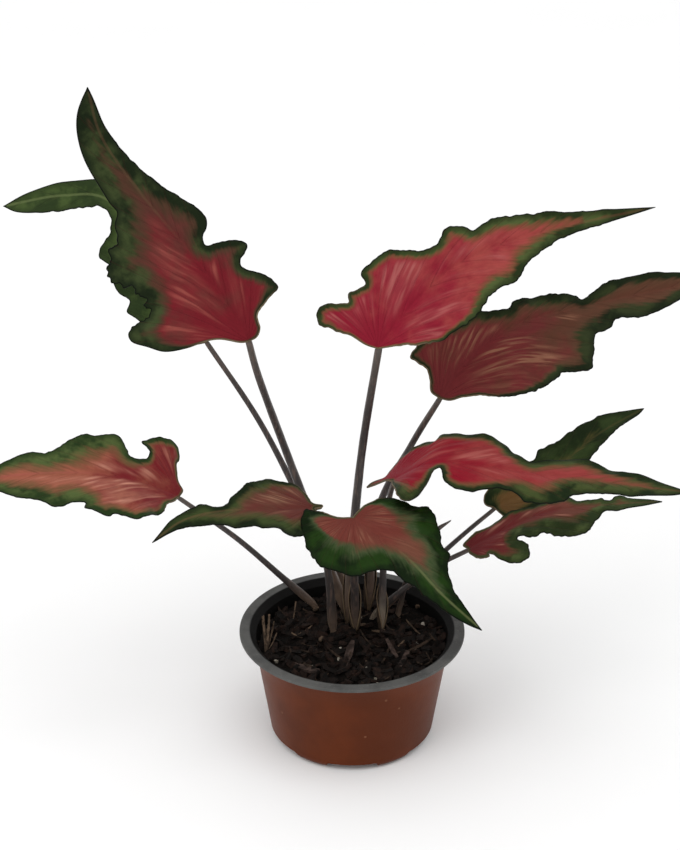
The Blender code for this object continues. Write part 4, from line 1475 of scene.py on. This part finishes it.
@dataclass(frozen=True)
class SoilFinish:
    """The tones of the bark soil."""

    dark: Colour = (13, 9, 7)
    brown: Colour = (29, 21, 16)

    def material(self) -> bpy.types.Material:
        """Paint the soil.

        Returns:
            The material.
        """
        paint = Paint("bark_soil")
        place = paint.place()
        crumb = paint.cells(place, 420.0)
        blot = paint.grain(place, 160.0, 5.0, 0.7)
        colour = paint.mix(paint.fade(blot, 0.42, 0.66), linear(self.dark), linear(self.brown))
        # Darker in the crevices between the crumbs: painted shade.
        colour = paint.mix(paint.fade(crumb.outputs["Distance"], 0.25, 0.75), colour, linear((12, 9, 7)))
        return paint.finish(colour, 0.92, paint.number("ADD", blot, paint.number(
            "MULTIPLY", crumb.outputs["Distance"], -0.6)), 0.0012, Specular_IOR_Level=0.1)

    def bark(self, name: str, light: Colour, dark: Colour) -> bpy.types.Material:
        """Paint loose bark or fibre.

        Args:
            name: The material's name.
            light: Its lighter tone.
            dark: Its darker tone.

        Returns:
            The material.
        """
        paint = Paint(name)
        place = paint.place()
        blot = paint.grain(place, 240.0, 4.0, 0.65)
        fine = paint.grain(place, 1400.0, 3.0)
        colour = paint.mix(paint.fade(blot, 0.38, 0.64), linear(dark), linear(light))
        return paint.finish(colour, 0.85, fine, 0.0003, Specular_IOR_Level=0.15)


# Single fibres and chips: x, y, length, width, thickness in mm, turn and tilt in degrees, rise in mm
TAN_FIBRES = (
    (-46.5, -5.0, 20, 1.0, 0.6, 95, 52, 7.0), (-44.5, -4.0, 19, 1.2, 0.6, 84, 58, 7.2),
    (-47.0, -2.0, 17, 0.9, 0.5, 102, 62, 7.0), (-43.2, -2.5, 15, 0.8, 0.5, 70, 48, 5.4),
    (-45.4, -6.5, 13, 1.3, 0.6, 88, 40, 3.6), (-42.0, -5.0, 10, 0.8, 0.5, 60, 36, 2.6),
    (-31.6, 22.0, 17, 0.8, 0.5, 82, 30, 3.6), (-25.0, 7.5, 10, 0.9, 0.6, 40, 10, 1.8),
    (-29.5, 4.0, 7, 0.8, 0.5, 150, 8, 1.4), (3.6, 12.5, 8, 1.5, 0.7, 4, 5, 2.0),
    (15.2, 8.5, 9, 1.6, 0.8, -4, 6, 2.0), (36.5, 34.0, 3, 2.0, 1.0, 20, 10, 2.0),
    (-19.6, 30.0, 3.4, 2.2, 1.0, 30, 10, 1.8), (-16.6, -0.5, 3.2, 2.0, 1.0, 60, 14, 1.8),
    (33.0, 10.0, 12, 0.8, 0.5, 130, 18, 2.4), (24.0, -8.0, 11, 0.9, 0.5, 40, 20, 2.4),
)
LARGE_CHIPS = (
    (-2.0, -17.0, 21, 3.6, 1.3, 76, 12, 2.0), (-25.0, -27.5, 19, 3.6, 1.4, -40, 8, 1.6),
    (27.0, -21.0, 12, 2.6, 1.2, 66, 14, 2.0), (21.0, -12.0, 13, 2.4, 1.2, 118, 22, 2.6),
)


@dataclass
class Soil:
    """The bark soil that fills the pot, and the bark that lies loose on it."""

    pot: Pot
    finish: SoilFinish = SoilFinish()
    edge_dip: float = 1.5
    lump: float = 1.6
    lump_size: float = 9.0
    sides: int = 160
    flakes: int = 330
    fibres: int = 46
    bits: int = 16

    def level(self, x: float, y: float) -> float:
        """Return the soil's height at a place, in mm."""
        radius = math.hypot(x, y)
        lumps = self.lump * noise.noise(Vector((x, y, SOIL_TOP)) / self.lump_size)
        lumps += 0.9 * noise.noise(Vector((x, y, 3.0)) / 3.2) + 0.4 * noise.noise(Vector((x, y, 9.0)) / 1.3)
        fade = min(1.0, max(0.0, (51.0 - radius) / 4.0))
        return SOIL_TOP - self.edge_dip * (1 - fade) + lumps * (0.35 + 0.65 * fade)

    def build_fill(self) -> bpy.types.Object:
        """Build the soil itself.

        Returns:
            The soil.
        """
        gap = self.pot.wall + 0.3
        bottom = self.pot.floor_top + 0.3
        edge = self.pot.wall_radius(SOIL_TOP) - gap
        rings = [(0.0, bottom), (self.pot.wall_radius(bottom) - gap - 2.0, bottom),
                 (self.pot.wall_radius(bottom + 2) - gap, bottom + 2),
                 (edge - 0.4, SOIL_TOP - self.edge_dip - 3.0), (edge, SOIL_TOP - self.edge_dip)]
        count = 40
        rings += [(edge * (1 - (index + 1) / (count + 1)), SOIL_TOP) for index in range(count)]
        rings.append((0.0, SOIL_TOP))
        fill = turned_body("turned_soil", rings, self.sides)
        for vert in fill.data.vertices:
            if vert.co.z > (SOIL_TOP - self.edge_dip - 1.0) * MM:
                vert.co.z = self.level(vert.co.x / MM, vert.co.y / MM) * MM
        settle(fill, "bark_soil_fill", None)
        fill.data.materials.append(self.finish.material())
        return declare(fill, Slot.SOIL, "soil")

    def chip(self, size: tuple[float, float, float], seed: float, bend: float) -> bpy.types.Mesh:
        """Model one piece of bark.

        Args:
            size: Its length, width and thickness in mm.
            seed: Which shape it gets.
            bend: How far its ends rise or fall, in mm.

        Returns:
            Its mesh.
        """
        clear_selection()
        bpy.ops.mesh.primitive_cube_add(size=1.0)
        piece = bpy.context.object
        bpy.ops.object.mode_set(mode="EDIT")
        shape = bmesh.from_edit_mesh(piece.data)
        for edge in shape.edges:
            edge.select_set(abs(edge.verts[0].co.x - edge.verts[1].co.x) > 0.5)
        bmesh.update_edit_mesh(piece.data)
        bpy.ops.mesh.select_mode(type="EDGE")
        bpy.ops.mesh.subdivide(number_cuts=3)
        bpy.ops.object.mode_set(mode="OBJECT")
        for vert in piece.data.vertices:
            part = vert.co.x
            narrow = 1 - 1.5 * abs(part) ** 2 + 0.5 * noise.noise(Vector((part * 3, seed, 1.0)))
            jitter = noise.noise(vert.co * 3.1 + Vector((seed, 0, 0)))
            vert.co = Vector((part * size[0] * MM,
                              vert.co.y * size[1] * narrow * MM * (1 + 0.4 * jitter),
                              (vert.co.z * size[2] * (1 + 0.6 * jitter) + bend * (4 * part * part - 0.5)) * MM))
        mesh = piece.data
        bpy.data.objects.remove(piece, do_unlink=True)
        return mesh

    def scatter(self, name: str, meshes: list, places: list, material: bpy.types.Material) -> bpy.types.Object:
        """Join copies of a few meshes into one piece.

        Args:
            name: The piece's name.
            meshes: The meshes to copy.
            places: The matrix of each copy.
            material: The piece's material.

        Returns:
            The piece.
        """
        shape = bmesh.new()
        for index, place in enumerate(places):
            before = len(shape.verts)
            shape.from_mesh(meshes[index % len(meshes)])
            shape.verts.ensure_lookup_table()
            bmesh.ops.transform(shape, matrix=place, verts=shape.verts[before:])
        for vert in shape.verts:
            inside = (self.pot.wall_radius(vert.co.z / MM) - self.pot.wall - 0.3) * MM
            pull = min(1.0, inside / max(math.hypot(vert.co.x, vert.co.y), MM))
            vert.co.x, vert.co.y = vert.co.x * pull, vert.co.y * pull
        mesh = bpy.data.meshes.new(name)
        shape.to_mesh(mesh)
        shape.free()
        piece = bpy.data.objects.new(name, mesh)
        bpy.context.scene.collection.objects.link(piece)
        settle(piece, name, 30.0)
        piece.data.materials.append(material)
        return declare(piece, Slot.SOIL)

    def spots(self, count: int, rng: random.Random, tilt: float, lift: float) -> list[Matrix]:
        """Pick places on the soil, clear of the stalks.

        Args:
            count: How many.
            rng: The random numbers.
            tilt: How far a piece may tilt, in degrees.
            lift: How far it stands out of the soil, in mm.

        Returns:
            A matrix for each place.
        """
        roots = [leaf.root for leaf in LEAVES]
        found = []
        while len(found) < count:
            radius, angle = 48.5 * math.sqrt(rng.random()), rng.uniform(0, math.tau)
            x, y = radius * math.cos(angle), radius * math.sin(angle)
            if min(math.hypot(x - root[0], y - root[1]) for root in roots) < 4.0:
                continue
            turn = Matrix.Rotation(rng.uniform(0, math.tau), 4, "Z")
            lean = Matrix.Rotation(math.radians(rng.uniform(-tilt, tilt)), 4, "Y")
            roll = Matrix.Rotation(math.radians(rng.uniform(-tilt, tilt)), 4, "X")
            where = Vector((x, y, self.level(x, y) + lift)) * MM
            size = rng.uniform(0.65, 1.25)
            found.append(Matrix.Translation(where) @ turn @ lean @ roll @ Matrix.Scale(size, 4))
        return found

    def build_loose(self) -> None:
        """Lay the flakes, the fibres and the pale bits on the soil."""
        rng = random.Random(11)
        dark = [self.chip((9, 4.2, 1.6), 1.0, 0.2), self.chip((6, 4.5, 2.2), 2.0, 0.0),
                self.chip((12, 3.2, 1.3), 3.0, 0.5), self.chip((5, 3.6, 2.4), 4.0, 0.0)]
        half = self.flakes // 2
        self.scatter("dark_bark_flakes", dark, self.spots(half, rng, 35, 0.3),
                     self.finish.bark("dark_bark", (29, 21, 17), (11, 8, 6)))
        self.scatter("red_bark_flakes", dark, self.spots(self.flakes - half, rng, 40, 0.4),
                     self.finish.bark("red_bark", (42, 29, 23), (17, 12, 9)))
        thin = [self.chip((13, 1.0, 0.6), 5.0, 1.0), self.chip((9, 0.8, 0.5), 6.0, 0.6),
                self.chip((16, 1.3, 0.6), 7.0, 1.4)]
        self.scatter("pale_fibres", thin, self.spots(self.fibres, rng, 30, 1.2),
                     self.finish.bark("pale_fibre", (66, 53, 43), (36, 28, 22)))
        bits = [self.chip((2.4, 1.8, 1.4), 8.0, 0.0), self.chip((1.8, 1.5, 1.3), 9.0, 0.0)]
        self.scatter("pale_bits", bits, self.spots(self.bits, rng, 60, 1.2),
                     self.finish.bark("pale_bit", (170, 164, 152), (112, 104, 92)))
        self.lay("tan_fibres", TAN_FIBRES, self.finish.bark("tan_fibre", (104, 86, 70), (58, 47, 38)))
        self.lay("large_bark_chips", LARGE_CHIPS, self.finish.bark("large_bark", (78, 64, 58), (44, 35, 31)))

    def lay(self, name: str, table: tuple, material: bpy.types.Material) -> bpy.types.Object:
        """Lay single chips or fibres where a table says.

        Args:
            name: The piece's name.
            table: For each, its (x, y, length, width, thickness, turn, tilt, rise) in mm and degrees.
            material: The piece's material.

        Returns:
            The piece.
        """
        meshes, places = [], []
        for index, (x, y, length, width, thick, turn, tilt, rise) in enumerate(table):
            meshes.append(self.chip((length, width, thick), 20.0 + index, 0.05 * length))
            places.append(Matrix.Translation(Vector((x, y, self.level(x, y) + rise)) * MM)
                          @ Matrix.Rotation(math.radians(turn), 4, "Z")
                          @ Matrix.Rotation(math.radians(-tilt), 4, "Y"))
        return self.scatter(name, meshes, places, material)


@dataclass(frozen=True)
class SheathFinish:
    """The tones of the papery sheaths at the stalks' feet."""

    pale: Colour = (78, 63, 50)
    dark: Colour = (48, 38, 30)
    edge: Colour = (138, 118, 94)

    def material(self) -> bpy.types.Material:
        """Paint the sheaths, with a paler edge.

        Returns:
            The material.
        """
        paint = Paint("papery_sheath")
        side, rise = paint.field("side"), paint.field("rise")
        fibre = paint.grain(paint.point(side, paint.number("MULTIPLY", rise, 0.35), 2.0), 9.0, 3.0)
        blot = paint.grain(paint.place(), 150.0, 3.0)
        colour = paint.mix(paint.fade(fibre, 0.35, 0.65), linear(self.dark), linear(self.pale))
        colour = paint.mix(paint.number("MULTIPLY", paint.fade(blot, 0.45, 0.65), 0.5), colour,
                           linear((44, 37, 30)))
        edge = paint.fade(paint.number("ABSOLUTE", side), 0.86, 0.97)
        colour = paint.mix(paint.number("MULTIPLY", edge, 0.7), colour, linear(self.edge))
        return paint.finish(colour, 0.65, fibre, 0.0002, Specular_IOR_Level=0.2)


@dataclass
class Sheath:
    """A papery sheath that wraps a stalk's foot from behind and opens upwards in a long v."""

    stalk: Stalk
    height: float
    facing: float
    spread: float = 172.0
    lift: float = 1.1
    rows: int = 26
    columns: int = 17

    def build(self, material: bpy.types.Material) -> bpy.types.Object:
        """Build the scale.

        Args:
            material: Its material.

        Returns:
            The scale.
        """
        line = self.stalk.line()
        places = lengths(line)
        part = np.linspace(0.0, 1.0, self.rows)[:, None]
        side = np.linspace(-1.0, 1.0, self.columns)[None, :]
        centre = along_line(line, places, self.stalk.depth + 0.5 + part[:, 0] * self.height)
        axis = unit(np.gradient(centre, axis=0))
        facing = math.radians(self.facing)
        across = unit(np.cross(axis, np.array((math.cos(facing), math.sin(facing), 0.0))))
        outward = np.cross(across, axis)
        open_part = 1 - part ** 1.5
        angle = side * math.radians(self.spread) * open_part
        stands = np.abs(side) ** 4 * part * (1 - part ** 4)
        radius = self.stalk.radius_at(part * self.height) + 0.35 + self.lift * stands
        points = (centre[:, None] + outward[:, None] * (radius * np.cos(angle))[..., None]
                  + across[:, None] * (radius * np.sin(angle))[..., None])
        name = "sheath_" + self.stalk.leaf.name
        piece = wrapped_grid(name, points)
        write_fields(piece, {"side": (side + 0 * part).T, "rise": (part + 0 * side).T})
        weld(piece)
        wall = piece.modifiers.new("thickness", "SOLIDIFY")
        wall.thickness = 0.3 * MM
        wall.offset = 0.0
        apply_all(piece)
        settle(piece, name, None)
        piece.data.materials.append(material)
        return declare(piece, Slot.STALK)


SHEATHS = {
    "front": (40, 88), "mid_right": (30, 112), "tall_right": (46, 75), "back_right": (40, 100),
}
PALE_FEET = ("mid_right", "low_right")


@dataclass
class Studio:
    """The pale floor, the soft lights and the camera."""

    camera_place: tuple[float, float, float] = (-0.0064, -0.85298, 0.59494)
    camera_pitch: float = 64.15
    lens: float = 99.26
    sensor: float = 36.0

    def build(self) -> None:
        """Set up the studio."""
        clear_selection()
        bpy.ops.mesh.primitive_plane_add(size=8.0)
        floor = bpy.context.object
        floor.name = "studio_floor"
        paint = Paint("pale_floor")
        grain = paint.grain(paint.place(), 3.0, 2.0)
        colour = paint.mix(paint.fade(grain, 0.3, 0.7), (0.95, 0.95, 0.95, 1.0), (0.97, 0.97, 0.97, 1.0))
        floor.data.materials.append(paint.finish(colour, 0.9, grain, 0.0, Specular_IOR_Level=0.2))
        world = bpy.data.worlds.new("studio_air")
        world.use_nodes = True
        air = world.node_tree.nodes["Background"]
        air.inputs["Color"].default_value = (1.0, 1.0, 1.0, 1.0)
        air.inputs["Strength"].default_value = 0.8
        bpy.context.scene.world = world
        self.light("key_light", (-0.9, -1.1, 1.7), 1.0, 7.0)
        bpy.ops.object.light_add(type="SUN", location=(0.4, -0.6, 2.0))
        sun = bpy.context.object
        sun.name = "soft_sun"
        sun.data.energy = 0.75
        sun.data.angle = math.radians(50.0)
        sun.rotation_euler = Vector((0.4, -0.6, 2.0)).to_track_quat("Z", "Y").to_euler()
        camera = bpy.data.cameras.new("photo_camera")
        camera.sensor_fit = "HORIZONTAL"
        camera.sensor_width = self.sensor
        camera.lens = self.lens
        camera.clip_start = 0.01
        item = bpy.data.objects.new("photo_camera", camera)
        item.location = self.camera_place
        item.rotation_euler = (math.radians(self.camera_pitch), 0.0, 0.0)
        bpy.context.scene.collection.objects.link(item)
        bpy.context.scene.camera = item
        bpy.context.scene.view_settings.view_transform = "Standard"

    def light(self, name: str, place: tuple[float, float, float], size: float, power: float) -> None:
        """Add a soft light that looks at the plant.

        Args:
            name: The light's name.
            place: Where it is, in metres.
            size: Its width in metres.
            power: Its power in watts.
        """
        clear_selection()
        bpy.ops.object.light_add(type="AREA", location=place)
        item = bpy.context.object
        item.name = name
        item.data.shape = "DISK"
        item.data.size = size
        item.data.energy = power
        item.rotation_euler = (Vector((0.0, 0.0, 0.15)) - Vector(place)).to_track_quat("-Z", "Y").to_euler()


def main() -> None:
    """Build the studio and the plant, piece by piece."""
    Studio().build()
    pot = Pot()
    pot.build()
    soil = Soil(pot)
    soil.build_fill()
    soil.build_loose()
    skin = StalkFinish().material("stalk_skin")
    pale_skin = StalkFinish(foot=(170, 154, 134)).material("pale_foot_skin")
    papery = SheathFinish().material()
    for leaf in LEAVES:
        blade = Blade(leaf, DRESS[leaf.name])
        blade.build()
        stalk = Stalk(leaf, blade, pale_skin if leaf.name in PALE_FEET else skin)
        stalk.build()
        if leaf.name in SHEATHS:
            Sheath(stalk, *SHEATHS[leaf.name]).build(papery)
    Shoot(skin).build()
    clear_selection()


if __name__ == "__main__":
    logging.basicConfig(level=logging.INFO, format="%(message)s")
    main()
